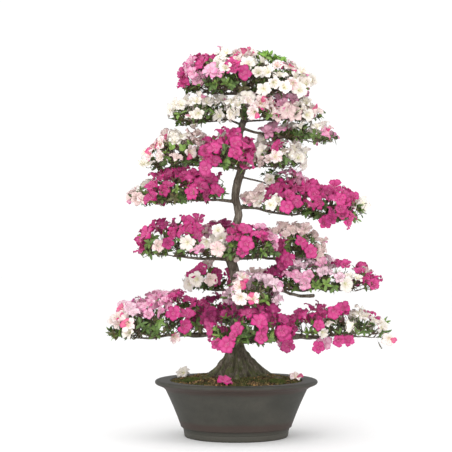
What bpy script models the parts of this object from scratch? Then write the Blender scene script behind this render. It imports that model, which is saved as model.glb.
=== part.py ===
"""A flower-tower satsuki azalea bonsai in a round, flared stoneware pot.

The tree is one piece of wood: spreading surface roots, a winding trunk and a limb under each
pad of growth. Every pad is a bed of leaves with a cap of open blossoms lying on it. The pot
holds drain screens, a layer of gravel and the soil that the roots sit in.

Metres, +Z up. The tree is placed from the soil at the foot of its trunk. At the end everything
is shifted so that the origin is the middle of the model's box, on the ground.
"""

import math
from typing import NamedTuple

import bmesh
import bpy
from mathutils import Vector

# Clearances between neighbours that touch
SEAT_GAP = 0.0004
LIMB_GAP = 0.0004

# Pot: outside
POT_HEIGHT = 0.157
RIM_RADIUS = 0.225
RIM_THICKNESS = 0.0125
NECK_RADIUS = 0.1965
NECK_DROP = 0.025
BEAD_RADIUS = 0.153
BEAD_HEIGHT = 0.031
FOOT_RADIUS = 0.143
FOOT_HEIGHT = 0.017
FOOT_ROUNDING = 0.003
FOOT_RING_WIDTH = 0.026

# Pot: inside and underneath
POT_WALL = 0.012
POT_FLOOR = 0.013
FOOT_RECESS = 0.008
MOUTH_ROUNDING = 0.004
DRAIN_HOLES = 3
DRAIN_HOLE_RADIUS = 0.017
DRAIN_HOLE_SPREAD = 0.078
VENT_BEARINGS = (0, 90, 180)
VENT_WIDTH = 0.036
VENT_HEIGHT = 0.0055

# Filling
SCREEN_OVERLAP = 0.009
SCREEN_THICKNESS = 0.0012
SCREEN_CELLS = 7
GRAVEL_DEPTH = 0.026
SOIL_BELOW_RIM = 0.009
SOIL_MOUND = 0.020
SOIL_SHOULDER_DROP = 0.003
SOIL_SHOULDER_WIDTH = 0.012

# Surface roots
ROOT_DEPTH = 0.011
ROOT_LOBES = 7
ROOT_LOBE_SHARE = 0.13
ROOT_SPREAD = 0.080
ROOT_FLARE_HEIGHT = 0.112
ROOT_FLARE_TOP_RADIUS = 0.0165
ROOT_FLARE_POWER = 1.9
ROOT_FLARE_STEPS = 7

# Limbs
TWIG_RADIUS = 0.0015
THICK_LIMB = 0.007
LIMB_STOPS = (-0.86, -0.5, -0.1, 0.25, 0.66)
LIMB_WEAVE = 0.12
SIDE_LIMB_REACH = 0.62
SIDE_LIMB_SHARE = 0.60
CROWN_LIMBS = 6
SAWN_STUB_RADIUS = 0.0055
SAWN_STUB_DROP = 0.016
DROOPING_TIP = (0.405, 0.010, 0.072)

# Pads
BED_SHAPE = ((0.66, 0.00), (1.00, 0.10), (0.97, 0.22), (0.60, 0.36))
BED_MIDDLE = 0.38
CAP_SHAPE = ((1.04, 0.42), (0.88, 0.66), (0.50, 0.92))
PAD_LOBE_SHARE = 0.05

# Lying on the soil
MOSS_THICKNESS = 0.004
BLOSSOM_RADIUS = 0.021
BLOSSOM_CUP = 0.012
BLOSSOM_THICKNESS = 0.002
BLOSSOM_PETALS = 5
PELLET_RADIUS = 0.009
PELLET_HEIGHT_SHARE = 0.8

# Fineness of the meshes
ROUND_SEGMENTS = 40
HOLE_SEGMENTS = 20
PAD_SEGMENTS = 16
MOSS_SEGMENTS = 12
PATH_STEPS = 2


class Bend(NamedTuple):
    """A point of the trunk's centreline: height above the soil, x, y and the radius there."""

    height: float
    x: float
    y: float
    radius: float


TRUNK = (
    Bend(0.070, -0.0020, 0.000, 0.0215),
    Bend(0.117, 0.0005, 0.001, 0.0188),
    Bend(0.160, 0.0030, 0.004, 0.0174),
    Bend(0.208, 0.0050, 0.006, 0.0160),
    Bend(0.252, 0.0010, 0.004, 0.0150),
    Bend(0.299, -0.0084, 0.000, 0.0146),
    Bend(0.352, -0.0223, -0.002, 0.0150),
    Bend(0.396, -0.0090, 0.000, 0.0130),
    Bend(0.443, 0.0068, 0.002, 0.0112),
    Bend(0.494, -0.0029, 0.005, 0.0112),
    Bend(0.537, 0.0046, 0.005, 0.0120),
    Bend(0.593, 0.0195, 0.003, 0.0112),
    Bend(0.651, 0.0076, 0.000, 0.0100),
    Bend(0.692, 0.0160, -0.003, 0.0094),
    Bend(0.723, 0.0250, -0.002, 0.0080),
    Bend(0.776, 0.0131, 0.000, 0.0056),
)


class Pad(NamedTuple):
    """One pad of growth, an oval from above whose long axis points away from the trunk.

    x and y are the middle of the oval and bearing is where its long axis points, in degrees
    anticlockwise from +X. near and far are the heights above the soil of the underside, at the
    end near the trunk and at the far end, and the two thicknesses are those of the same ends.
    limb is the radius of its limb where it forks from the trunk, and fork is the height of that.
    """

    name: str
    x: float
    y: float
    bearing: float
    half_length: float
    half_width: float
    near: float
    far: float
    near_thickness: float
    far_thickness: float
    limb: float
    fork: float


CROWN = Pad("crown", 0.024, 0, 0, 0.178, 0.120, 0.787, 0.777, 0.114, 0.106, 0.0040, 0.776)
TIER_PADS = (
    Pad("tier2_left", -0.100, 0, 180, 0.090, 0.085, 0.714, 0.690, 0.066, 0.064, 0.0036, 0.692),
    Pad("tier2_right", 0.150, 0.010, 3, 0.080, 0.082, 0.716, 0.706, 0.058, 0.054, 0.0032, 0.700),
    Pad("tier2_front", 0.037, -0.092, 275, 0.052, 0.056, 0.710, 0.708, 0.062, 0.062, 0.003, 0.698),
    Pad("tier3_right", 0.178, 0, 0, 0.102, 0.070, 0.664, 0.650, 0.038, 0.038, 0.0042, 0.684),
    Pad("tier4_left", -0.160, 0, 180, 0.095, 0.082, 0.588, 0.575, 0.090, 0.080, 0.0042, 0.572),
    Pad("tier4_front", -0.024, -0.098, 256, 0.060, 0.066, 0.58, 0.577, 0.084, 0.084, 0.0042, 0.568),
    Pad("tier4_right", 0.115, 0, 0, 0.070, 0.078, 0.582, 0.580, 0.072, 0.060, 0.0040, 0.570),
    Pad("tier4_back", -0.010, 0.108, 92, 0.060, 0.075, 0.590, 0.585, 0.075, 0.075, 0.0042, 0.574),
    Pad("tier4_spur", 0.132, 0.046, 18, 0.060, 0.044, 0.536, 0.530, 0.034, 0.036, 0.0030, 0.550),
    Pad("tier5_left", -0.163, 0, 180, 0.124, 0.085, 0.493, 0.474, 0.074, 0.078, 0.0052, 0.480),
    Pad("tier5_right", 0.187, 0, 0, 0.156, 0.085, 0.472, 0.422, 0.056, 0.104, 0.0055, 0.466),
    Pad("tier6_left", -0.158, -0.035, 190, 0.110, 0.080, 0.330, 0.338, 0.092, 0.094, 0.0058, 0.320),
    Pad("tier6_front", 0.028, -0.108, 285, 0.056, 0.078, 0.332, 0.330, 0.08, 0.08, 0.0056, 0.322),
    Pad("tier6_right", 0.160, 0.030, 11, 0.080, 0.082, 0.332, 0.320, 0.088, 0.092, 0.0056, 0.324),
    Pad("tier6_back", -0.040, 0.122, 105, 0.066, 0.085, 0.335, 0.330, 0.088, 0.088, 0.0056, 0.326),
    Pad("tier7_right", 0.215, 0.010, 2, 0.168, 0.075, 0.246, 0.236, 0.068, 0.076, 0.0066, 0.234),
    Pad("tier7_left", -0.085, 0.074, 140, 0.058, 0.055, 0.242, 0.240, 0.068, 0.068, 0.0050, 0.230),
    Pad("tier7_front", 0.045, -0.118, 290, 0.060, 0.076, 0.208, 0.204, 0.080, 0.080, 0.006, 0.196),
    Pad("tier8_left", -0.211, -0.030, 187, 0.142, 0.088, 0.125, 0.108, 0.114, 0.098, 0.0090, 0.114),
    Pad("tier8_front", 0.035, -0.130, 285, 0.072, 0.105, 0.11, 0.104, 0.078, 0.078, 0.008, 0.096),
    Pad("tier8_right", 0.262, 0, 0, 0.152, 0.072, 0.118, 0.108, 0.068, 0.070, 0.0125, 0.102),
    Pad("tier8_back", 0.000, 0.132, 90, 0.072, 0.100, 0.140, 0.135, 0.084, 0.084, 0.0080, 0.128),
)

# Bearing from the trunk in degrees, distance, half length across and half width outwards
MOSS_PATCHES = (
    ("moss_left", 205, 0.138, 0.034, 0.022),
    ("moss_right", 322, 0.142, 0.030, 0.020),
    ("moss_back", 80, 0.140, 0.036, 0.022),
)
FALLEN_BLOSSOMS = (
    ("fallen_blossom_left", 158, 0.164, "white petal"),
    ("fallen_blossom_front", 256, 0.150, "magenta petal"),
    ("fallen_blossom_right", 357, 0.160, "white petal"),
)
PELLET_BEARING = 12
PELLET_DISTANCE = 0.172

COLOURS = {  # base colour, roughness
    "stoneware": ((0.085, 0.082, 0.072), 0.62),
    "screen mesh": ((0.03, 0.05, 0.03), 0.50),
    "gravel": ((0.42, 0.38, 0.32), 0.90),
    "soil": ((0.16, 0.10, 0.05), 0.95),
    "moss": ((0.09, 0.14, 0.03), 0.95),
    "bark": ((0.12, 0.09, 0.065), 0.85),
    "leaf": ((0.07, 0.18, 0.03), 0.50),
    "magenta petal": ((0.72, 0.03, 0.30), 0.55),
    "white petal": ((0.88, 0.82, 0.82), 0.55),
    "fertiliser": ((0.025, 0.022, 0.018), 0.90),
}
WHITE_PADS = ("crown", "tier2_left", "tier2_right", "tier2_front", "tier3_right", "tier4_left",
              "tier4_right", "tier7_front")


# ---------------------------------------------------------------- shapes

def material(name):
    """The named finish, made once."""
    found = bpy.data.materials.get(name)
    if found:
        return found
    colour, roughness = COLOURS[name]
    made = bpy.data.materials.new(name)
    made.use_nodes = True
    shader = made.node_tree.nodes["Principled BSDF"]
    shader.inputs["Base Color"].default_value = (*colour, 1.0)
    shader.inputs["Roughness"].default_value = roughness
    shader.inputs["Metallic"].default_value = 0.0
    return made


def link(name, mesh, finish=None):
    """Puts a mesh in the scene as a named object, shaded smooth apart from its sharp edges."""
    made = bpy.data.objects.new(name, mesh)
    bpy.context.scene.collection.objects.link(made)
    mesh.shade_smooth()
    mesh.set_sharp_from_angle(angle=math.radians(40))
    if finish:
        mesh.materials.append(material(finish))
    return made


def evaluated_mesh(made):
    """The object's mesh with its modifiers or its bevel applied."""
    graph = bpy.context.evaluated_depsgraph_get()
    return bpy.data.meshes.new_from_object(made.evaluated_get(graph), depsgraph=graph)


def loft(name, loops, finish):
    """A closed skin through loops of points. A loop of one point is a pole at either end.

    Warped quads are split along their short diagonal, so that two pieces laid on each other
    along the same loops are split alike and don't run into each other.
    """
    mesh = bpy.data.meshes.new(name)
    work = bmesh.new()
    rings = [[work.verts.new(point) for point in loop] for loop in loops]
    for low, high in zip(rings, rings[1:]):
        count = max(len(low), len(high))
        for i in range(count):
            j = (i + 1) % count
            corners = (low[i % len(low)], low[j % len(low)], high[j % len(high)], high[i % len(high)])
            work.faces.new(dict.fromkeys(corners))
    bmesh.ops.triangulate(work, faces=work.faces, quad_method="SHORT_EDGE")
    bmesh.ops.recalc_face_normals(work, faces=work.faces)
    work.to_mesh(mesh)
    work.free()
    return link(name, mesh, finish)


def circle(radius, z, segments=ROUND_SEGMENTS):
    """A ring of points round the Z axis. A radius of nothing gives the pole alone."""
    if radius == 0:
        return [Vector((0, 0, z))]
    turns = (2 * math.pi * i / segments for i in range(segments))
    return [Vector((radius * math.cos(a), radius * math.sin(a), z)) for a in turns]


def cut(target, cutters):
    """Takes the cutters away from the target, then drops them."""
    for cutter in cutters:
        cutter.hide_render = True
        cutter.display_type = "WIRE"
        modifier = target.modifiers.new("cut", "BOOLEAN")
        modifier.operation = "DIFFERENCE"
        modifier.object = cutter
    cut_mesh = evaluated_mesh(target)
    target.modifiers.clear()
    target.data = cut_mesh
    for cutter in cutters:
        bpy.data.objects.remove(cutter)


def polar(bearing, distance, z=0.0):
    """A point at a bearing in degrees and a distance from the pot's axis."""
    angle = math.radians(bearing)
    return Vector((distance * math.cos(angle), distance * math.sin(angle), z))


# ---------------------------------------------------------------- pot

def wall_outside(z):
    """Radius of the pot's outside where it runs straight, from the bead up to the neck."""
    slope = (NECK_RADIUS - BEAD_RADIUS) / (POT_HEIGHT - NECK_DROP - BEAD_HEIGHT)
    return BEAD_RADIUS + slope * (z - BEAD_HEIGHT)


def wall_inside(z):
    return wall_outside(z) - POT_WALL


FLOOR_TOP = FOOT_RECESS + POT_FLOOR
GRAVEL_TOP = FLOOR_TOP + GRAVEL_DEPTH
SOIL_EDGE = POT_HEIGHT - SOIL_BELOW_RIM
SOIL_TOP = SOIL_EDGE + SOIL_MOUND


def pot_profile():
    """Radius and height, from the middle of the floor up the inside, over the rim and down."""
    neck = POT_HEIGHT - NECK_DROP
    flare = RIM_RADIUS - NECK_RADIUS
    lip = POT_HEIGHT - RIM_THICKNESS
    mouth = POT_HEIGHT - MOUTH_ROUNDING
    foot_inside = FOOT_RADIUS - FOOT_RING_WIDTH
    return (
        (0, FLOOR_TOP),
        (wall_inside(FLOOR_TOP), FLOOR_TOP),
        (wall_inside(mouth), mouth),
        (wall_inside(POT_HEIGHT) + MOUTH_ROUNDING, POT_HEIGHT - 0.35 * MOUTH_ROUNDING),
        (RIM_RADIUS - 0.30 * flare, POT_HEIGHT),
        (RIM_RADIUS - 0.06 * flare, POT_HEIGHT - 0.16 * RIM_THICKNESS),
        (RIM_RADIUS, POT_HEIGHT - 0.50 * RIM_THICKNESS),
        (RIM_RADIUS - 0.12 * flare, lip + 0.05 * RIM_THICKNESS),
        (RIM_RADIUS - 0.50 * flare, lip - 0.24 * (lip - neck)),
        (RIM_RADIUS - 0.82 * flare, lip - 0.58 * (lip - neck)),
        (NECK_RADIUS, neck),
        (BEAD_RADIUS, BEAD_HEIGHT),
        (BEAD_RADIUS - 0.0010, BEAD_HEIGHT - 0.0035),
        (0.5 * (BEAD_RADIUS + FOOT_RADIUS), FOOT_HEIGHT + 0.0025),
        (FOOT_RADIUS + 0.0025, FOOT_HEIGHT),
        (FOOT_RADIUS, FOOT_ROUNDING),
        (FOOT_RADIUS - FOOT_ROUNDING, 0),
        (foot_inside, 0),
        (foot_inside - FOOT_ROUNDING, FOOT_RECESS),
        (0, FOOT_RECESS),
    )


def drain_places():
    """The middles of the drain holes, evenly spread round the floor."""
    return [polar(30 + 360 * i / DRAIN_HOLES, DRAIN_HOLE_SPREAD) for i in range(DRAIN_HOLES)]


def vent_cutter(bearing):
    """A block that opens the foot ring at one bearing, so that drained water runs out."""
    mesh = bpy.data.meshes.new("vent")
    work = bmesh.new()
    bmesh.ops.create_cube(work, size=1)
    reach = 2 * FOOT_RING_WIDTH
    bmesh.ops.scale(work, verts=work.verts, vec=(reach, VENT_WIDTH, 2 * VENT_HEIGHT))
    bmesh.ops.translate(work, verts=work.verts, vec=(FOOT_RADIUS - FOOT_RING_WIDTH / 2, 0, 0))
    work.to_mesh(mesh)
    work.free()
    made = link("vent", mesh)
    made.rotation_euler.z = math.radians(bearing)
    return made


def make_pot():
    pot = loft("pot", [circle(r, z) for r, z in pot_profile()], "stoneware")
    cutters = [vent_cutter(bearing) for bearing in VENT_BEARINGS]
    for place in drain_places():
        rings = (circle(DRAIN_HOLE_RADIUS, z, HOLE_SEGMENTS) for z in (0, 2 * FLOOR_TOP))
        low, high = ([point + place for point in ring] for ring in rings)
        poles = [place], [place + Vector((0, 0, 2 * FLOOR_TOP))]
        cutters.append(loft("drain", [poles[0], low, high, poles[1]], None))
    cut(pot, cutters)


# ---------------------------------------------------------------- filling

def make_screens():
    """A square of plastic mesh over each drain hole, lying on the pot's floor."""
    side = 2 * (DRAIN_HOLE_RADIUS + SCREEN_OVERLAP)
    for number, place in enumerate(drain_places(), 1):
        mesh = bpy.data.meshes.new("screen")
        work = bmesh.new()
        bmesh.ops.create_grid(work, x_segments=SCREEN_CELLS, y_segments=SCREEN_CELLS, size=side / 2)
        cell = side / SCREEN_CELLS
        holes = [
            face
            for face in work.faces
            if all(int((c + side / 2) / cell) % 2 for c in face.calc_center_median()[:2])
        ]
        bmesh.ops.delete(work, geom=holes, context="FACES")
        work.to_mesh(mesh)
        work.free()
        screen = link(f"drain_screen_{number}", mesh, "screen mesh")
        screen.location = place + Vector((0, 0, FLOOR_TOP + SEAT_GAP))
        thicken = screen.modifiers.new("thickness", "SOLIDIFY")
        thicken.thickness = SCREEN_THICKNESS
        thicken.offset = 1


def make_gravel():
    low = FLOOR_TOP + SEAT_GAP + SCREEN_THICKNESS + SEAT_GAP
    edges = ((0, low), (wall_inside(low) - SEAT_GAP, low))
    edges += ((wall_inside(GRAVEL_TOP) - SEAT_GAP, GRAVEL_TOP), (0, GRAVEL_TOP))
    loft("gravel", [circle(r, z) for r, z in edges], "gravel")


def root_outline(height):
    """The roots' outline at a height above the soil, as radii round the trunk."""
    rise = min(max(height, 0) / ROOT_FLARE_HEIGHT, 1)
    spread = (1 - rise) ** ROOT_FLARE_POWER
    radius = ROOT_FLARE_TOP_RADIUS + (ROOT_SPREAD - ROOT_FLARE_TOP_RADIUS) * spread
    outline = []
    for i in range(ROUND_SEGMENTS):
        turn = 2 * math.pi * i / ROUND_SEGMENTS
        lobe = math.sin(ROOT_LOBES * turn + 0.6) + 0.5 * math.sin(3 * turn + 1.1)
        outline.append(radius * (1 + ROOT_LOBE_SHARE * lobe * spread))
    return outline


def outline_ring(radii, z, margin=0.0):
    unit = circle(1, 0)
    return [Vector((p.x * (r + margin), p.y * (r + margin), z)) for p, r in zip(unit, radii)]


def shoulder_radius():
    """Where the soil's mound becomes a plain slope, outside the longest root."""
    return max(root_outline(0)) + SOIL_SHOULDER_WIDTH


def soil_surface(distance):
    """Height of the soil's slope at a distance from the axis, from its shoulder to the wall."""
    edge = wall_inside(SOIL_EDGE)
    share = (distance - shoulder_radius()) / (edge - shoulder_radius())
    top = SOIL_TOP - SOIL_SHOULDER_DROP
    return top + share * (SOIL_EDGE - top)


def make_soil():
    """The soil, with a socket that the buried ends of the roots sit in."""
    low = GRAVEL_TOP + SEAT_GAP
    socket_floor = SOIL_TOP - ROOT_DEPTH - SEAT_GAP
    roots = root_outline(0)
    shoulder = shoulder_radius()
    loft(
        "soil",
        [
            circle(0, low),
            circle(wall_inside(low) - SEAT_GAP, low),
            circle(wall_inside(SOIL_EDGE) - SEAT_GAP, SOIL_EDGE),
            circle(shoulder, soil_surface(shoulder)),
            outline_ring(roots, SOIL_TOP, SEAT_GAP),
            outline_ring(roots, socket_floor, SEAT_GAP),
            circle(0, socket_floor),
        ],
        "soil",
    )


# ---------------------------------------------------------------- wood

def smooth_path(points):
    """A Catmull-Rom curve through the points, with PATH_STEPS points for each span."""
    ends = [2 * points[0] - points[1], *points, 2 * points[-1] - points[-2]]
    path = []
    for a, b, c, d in zip(ends, ends[1:], ends[2:], ends[3:]):
        for step in range(PATH_STEPS):
            t = step / PATH_STEPS
            path.append(
                0.5 * (2 * b + (c - a) * t + (2 * a - 5 * b + 4 * c - d) * t**2
                       + (3 * b - a - 3 * c + d) * t**3)
            )
    return [*path, points[-1]]


def tube(name, path, bevel_resolution):
    """A round branch along a path of 4-vectors: place and radius. Its ends are filled."""
    curve = bpy.data.curves.new(name, "CURVE")
    curve.dimensions = "3D"
    curve.bevel_depth = 1
    curve.bevel_resolution = bevel_resolution
    curve.use_fill_caps = True
    spline = curve.splines.new("POLY")
    spline.points.add(len(path) - 1)
    for point, stop in zip(spline.points, path):
        point.co = (*stop.xyz, 1)
        point.radius = stop.w
    guide = bpy.data.objects.new(name, curve)
    bpy.context.scene.collection.objects.link(guide)
    mesh = evaluated_mesh(guide)
    bpy.data.objects.remove(guide)
    work = bmesh.new()
    work.from_mesh(mesh)
    bmesh.ops.remove_doubles(work, verts=work.verts, dist=1e-6)
    work.to_mesh(mesh)
    work.free()
    return link(name, mesh)


def trunk_centre(height):
    """The trunk's centre at a height above the soil."""
    low, high = next(pair for pair in zip(TRUNK, TRUNK[1:]) if height <= pair[1].height)
    share = (height - low.height) / (high.height - low.height)
    x = low.x + share * (high.x - low.x)
    y = low.y + share * (high.y - low.y)
    return Vector((x, y, SOIL_TOP + height))


def pad_point(pad, along, across, rise=0.0):
    """A point from the pad's underside. along and across run from -1 to 1 over its oval."""
    turn = math.radians(pad.bearing)
    out = Vector((math.cos(turn), math.sin(turn), 0))
    side = Vector((-out.y, out.x, 0))
    height = pad.near + (pad.far - pad.near) * (along + 1) / 2
    place = Vector((pad.x, pad.y, SOIL_TOP + height + rise))
    return place + out * along * pad.half_length + side * across * pad.half_width


def under_pad(pad, along, across, radius, sag=0.0):
    """A stop of a limb that runs just under the pad, as a place and a radius."""
    place = pad_point(pad, along, across, -LIMB_GAP - radius - sag)
    return Vector((*place, radius))


def taper(radius, share):
    """A limb's radius when this share of its length is behind it."""
    return radius + (TWIG_RADIUS - radius) * share**0.8


def limb_paths(pad):
    """The pad's own limb, from inside the trunk to near the pad's far end, and its side limbs."""
    stops = [Vector((*trunk_centre(pad.fork), 1.15 * pad.limb))]
    for number, along in enumerate(LIMB_STOPS):
        radius = taper(pad.limb, (along + 1) / 1.7)
        across = LIMB_WEAVE * math.sin(2.4 * number + pad.bearing)
        stops.append(under_pad(pad, along, across, radius, 0.0012 * (number % 2)))
    yield stops, 2 if pad.limb > THICK_LIMB else 1
    for number, root in enumerate(stops[2:5]):
        along = LIMB_STOPS[number + 1]
        reach = SIDE_LIMB_REACH if number % 2 else -SIDE_LIMB_REACH
        radius = max(root.w * SIDE_LIMB_SHARE, TWIG_RADIUS)
        elbow = under_pad(pad, along + 0.16, 0.5 * reach, taper(radius, 0.5))
        tip = under_pad(pad, along + 0.30, reach, TWIG_RADIUS)
        yield [Vector((*root.xyz, radius)), elbow, tip], 1


def sawn_stub(pad):
    """An old lower limb that was sawn off. It leaves the pad's limb and hangs a little."""
    stops = []
    for along, drop in ((-0.62, 0), (-0.38, 0.8), (-0.02, 1)):
        place = pad_point(pad, along, -0.20, -LIMB_GAP - SAWN_STUB_RADIUS - drop * SAWN_STUB_DROP)
        stops.append(Vector((*place, SAWN_STUB_RADIUS)))
    return stops, 1


def drooping_tip(pad):
    """The limb's last shoot, which hangs out beyond the pad."""
    start = under_pad(pad, 0.55, 0, 2 * TWIG_RADIUS)
    rim = under_pad(pad, 0.86, 0, TWIG_RADIUS, 0.003)
    x, y, height = DROOPING_TIP
    return [start, rim, Vector((x, y, SOIL_TOP + height, TWIG_RADIUS))], 0


def crown_paths(pad):
    """Limbs that fan out from the top of the trunk under the crown."""
    top = trunk_centre(TRUNK[-1].height)
    for number in range(CROWN_LIMBS):
        turn = 2 * math.pi * (number + 0.2) / CROWN_LIMBS
        stops = [Vector((*top, pad.limb))]
        for reach in (0.22, 0.62):
            along, across = reach * math.cos(turn), reach * math.sin(turn)
            stops.append(under_pad(pad, along, across, taper(pad.limb, reach)))
        yield stops, 1


def make_tree():
    """Roots, trunk and limbs, joined into the one piece of wood that they grew as."""
    heights = [-ROOT_DEPTH, 0]
    heights += [ROOT_FLARE_HEIGHT * (i / ROOT_FLARE_STEPS) for i in range(1, ROOT_FLARE_STEPS + 1)]
    loops = [circle(0, SOIL_TOP + heights[0])]
    loops += [outline_ring(root_outline(height), SOIL_TOP + height) for height in heights]
    loops.append(circle(0, SOIL_TOP + heights[-1]))
    tree = loft("tree_wood", loops, "bark")

    trunk = [Vector((bend.x, bend.y, SOIL_TOP + bend.height, bend.radius)) for bend in TRUNK]
    paths = [(smooth_path(trunk), 4), *crown_paths(CROWN)]
    for pad in TIER_PADS:
        paths += limb_paths(pad)
        if pad.name == "tier7_right":
            paths.append(sawn_stub(pad))
        if pad.name == "tier8_right":
            paths.append(drooping_tip(pad))
    limbs = bpy.data.collections.new("limbs")
    bpy.context.scene.collection.children.link(limbs)
    for path, resolution in paths:
        branch = tube("limb", path, resolution)
        bpy.context.scene.collection.objects.unlink(branch)
        limbs.objects.link(branch)
    join = tree.modifiers.new("join", "BOOLEAN")
    join.operation = "UNION"
    join.operand_type = "COLLECTION"
    join.collection = limbs
    joined = evaluated_mesh(tree)
    tree.modifiers.clear()
    tree.data = joined
    for branch in list(limbs.objects):
        bpy.data.objects.remove(branch)
    bpy.data.collections.remove(limbs)


# ---------------------------------------------------------------- pads

def pad_ring(pad, reach, share, gap=0.0):
    """A loop round the pad, at a share of its oval and a share of its thickness."""
    ring = []
    for i in range(PAD_SEGMENTS):
        turn = 2 * math.pi * i / PAD_SEGMENTS
        lobe = 1 + PAD_LOBE_SHARE * math.sin(3 * turn + pad.bearing) * reach
        along, across = reach * lobe * math.cos(turn), reach * lobe * math.sin(turn)
        far = (along + 1) / 2
        thickness = pad.near_thickness + (pad.far_thickness - pad.near_thickness) * far
        ring.append(pad_point(pad, along, across, share * thickness + gap))
    return ring


def pad_middle(pad, share, gap=0.0):
    thickness = (pad.near_thickness + pad.far_thickness) / 2
    return [pad_point(pad, 0, 0, share * thickness + gap)]


def make_pad(pad):
    """A bed of leaves, and the cap of blossoms that lies on it."""
    bed = [pad_ring(pad, reach, share) for reach, share in BED_SHAPE]
    seat = [pad_ring(pad, reach, share, SEAT_GAP) for reach, share in reversed(BED_SHAPE[2:])]
    cap = [pad_ring(pad, reach, share) for reach, share in CAP_SHAPE]
    loft(
        pad.name + "_leaves",
        [pad_middle(pad, 0), *bed, pad_middle(pad, BED_MIDDLE)],
        "leaf",
    )
    loft(
        pad.name + "_blossoms",
        [pad_middle(pad, BED_MIDDLE, SEAT_GAP), *seat, *cap, pad_middle(pad, 1)],
        "white petal" if pad.name in WHITE_PADS else "magenta petal",
    )


# ---------------------------------------------------------------- on the soil

def make_moss(name, bearing, distance, half_across, half_out):
    """A low cushion that follows the slope of the soil."""
    def ring(reach, rise):
        points = []
        for i in range(MOSS_SEGMENTS):
            turn = 2 * math.pi * i / MOSS_SEGMENTS
            out = distance + reach * half_out * math.cos(turn)
            swing = math.degrees(reach * half_across * math.sin(turn) / distance)
            points.append(polar(bearing + swing, out, soil_surface(out) + SEAT_GAP + rise))
        return points

    middle = polar(bearing, distance, soil_surface(distance) + SEAT_GAP)
    loft(
        name,
        [
            [middle],
            ring(1.0, 0),
            ring(1.0, 0.3 * MOSS_THICKNESS),
            ring(0.7, 0.85 * MOSS_THICKNESS),
            [middle + Vector((0, 0, MOSS_THICKNESS))],
        ],
        "moss",
    )


def make_fallen_blossom(name, bearing, distance, finish):
    """An open five-petalled blossom that has dropped, lying cup upwards on the slope."""
    segments = 4 * BLOSSOM_PETALS
    slope = soil_surface(distance + BLOSSOM_RADIUS) - soil_surface(distance - BLOSSOM_RADIUS)
    lean = slope / (2 * BLOSSOM_RADIUS)
    centre = polar(bearing, distance, soil_surface(distance) + 2 * SEAT_GAP)
    out = polar(bearing, 1)

    def ring(reach, rise):
        points = []
        for i in range(segments):
            turn = 2 * math.pi * i / segments
            petal = 1 + 0.16 * reach * math.cos(BLOSSOM_PETALS * turn)
            flat = polar(math.degrees(turn), BLOSSOM_RADIUS * reach * petal)
            points.append(centre + flat + Vector((0, 0, rise + lean * flat.dot(out))))
        return points

    up = Vector((0, 0, BLOSSOM_THICKNESS))
    loft(
        name,
        [
            [centre],
            ring(0.45, 0.12 * BLOSSOM_CUP),
            ring(1.00, BLOSSOM_CUP),
            ring(0.94, BLOSSOM_CUP + BLOSSOM_THICKNESS),
            ring(0.42, 0.12 * BLOSSOM_CUP + BLOSSOM_THICKNESS),
            [centre + up],
        ],
        finish,
    )


def make_pellet():
    """A cake of solid fertiliser by the edge of the pot."""
    mesh = bpy.data.meshes.new("fertiliser_pellet")
    work = bmesh.new()
    bmesh.ops.create_icosphere(work, subdivisions=2, radius=PELLET_RADIUS)
    place = polar(PELLET_BEARING, PELLET_DISTANCE)
    fall = soil_surface(PELLET_DISTANCE - 0.5) - soil_surface(PELLET_DISTANCE + 0.5)
    height = PELLET_RADIUS * math.hypot(fall, PELLET_HEIGHT_SHARE)
    place.z = soil_surface(PELLET_DISTANCE) + height + SEAT_GAP
    bmesh.ops.scale(work, verts=work.verts, vec=(1, 1, PELLET_HEIGHT_SHARE))
    bmesh.ops.translate(work, verts=work.verts, vec=place)
    work.to_mesh(mesh)
    work.free()
    link("fertiliser_pellet", mesh, "fertiliser")


# ---------------------------------------------------------------- the whole model

def centre_on_box():
    """Shifts every piece so that the origin is the middle of the whole box, on the ground."""
    bpy.context.view_layer.update()
    corners = [o.matrix_world @ Vector(c) for o in bpy.data.objects for c in o.bound_box]
    middle = [(min(c[i] for c in corners) + max(c[i] for c in corners)) / 2 for i in (0, 1)]
    for made in bpy.data.objects:
        made.location -= Vector((*middle, 0))


def main():
    for old in list(bpy.data.objects):
        bpy.data.objects.remove(old)
    make_pot()
    make_screens()
    make_gravel()
    make_soil()
    make_tree()
    for pad in (CROWN, *TIER_PADS):
        make_pad(pad)
    for patch in MOSS_PATCHES:
        make_moss(*patch)
    for blossom in FALLEN_BLOSSOMS:
        make_fallen_blossom(*blossom)
    make_pellet()
    centre_on_box()


main()
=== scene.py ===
"""Looks for a flower-tower azalea bonsai in a round stoneware pot.

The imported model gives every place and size. Each pad of growth gets its own leaves, twigs and
open blossoms, grown over the space that the pad's two solids hold. The wood is thickened with
bark, the pot is turned again with its fine edges, and the soil is laid in loose grains.
"""

import math

import bmesh
import bpy
import numpy as np
from mathutils import Matrix, Vector, noise
from mathutils.bvhtree import BVHTree


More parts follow.
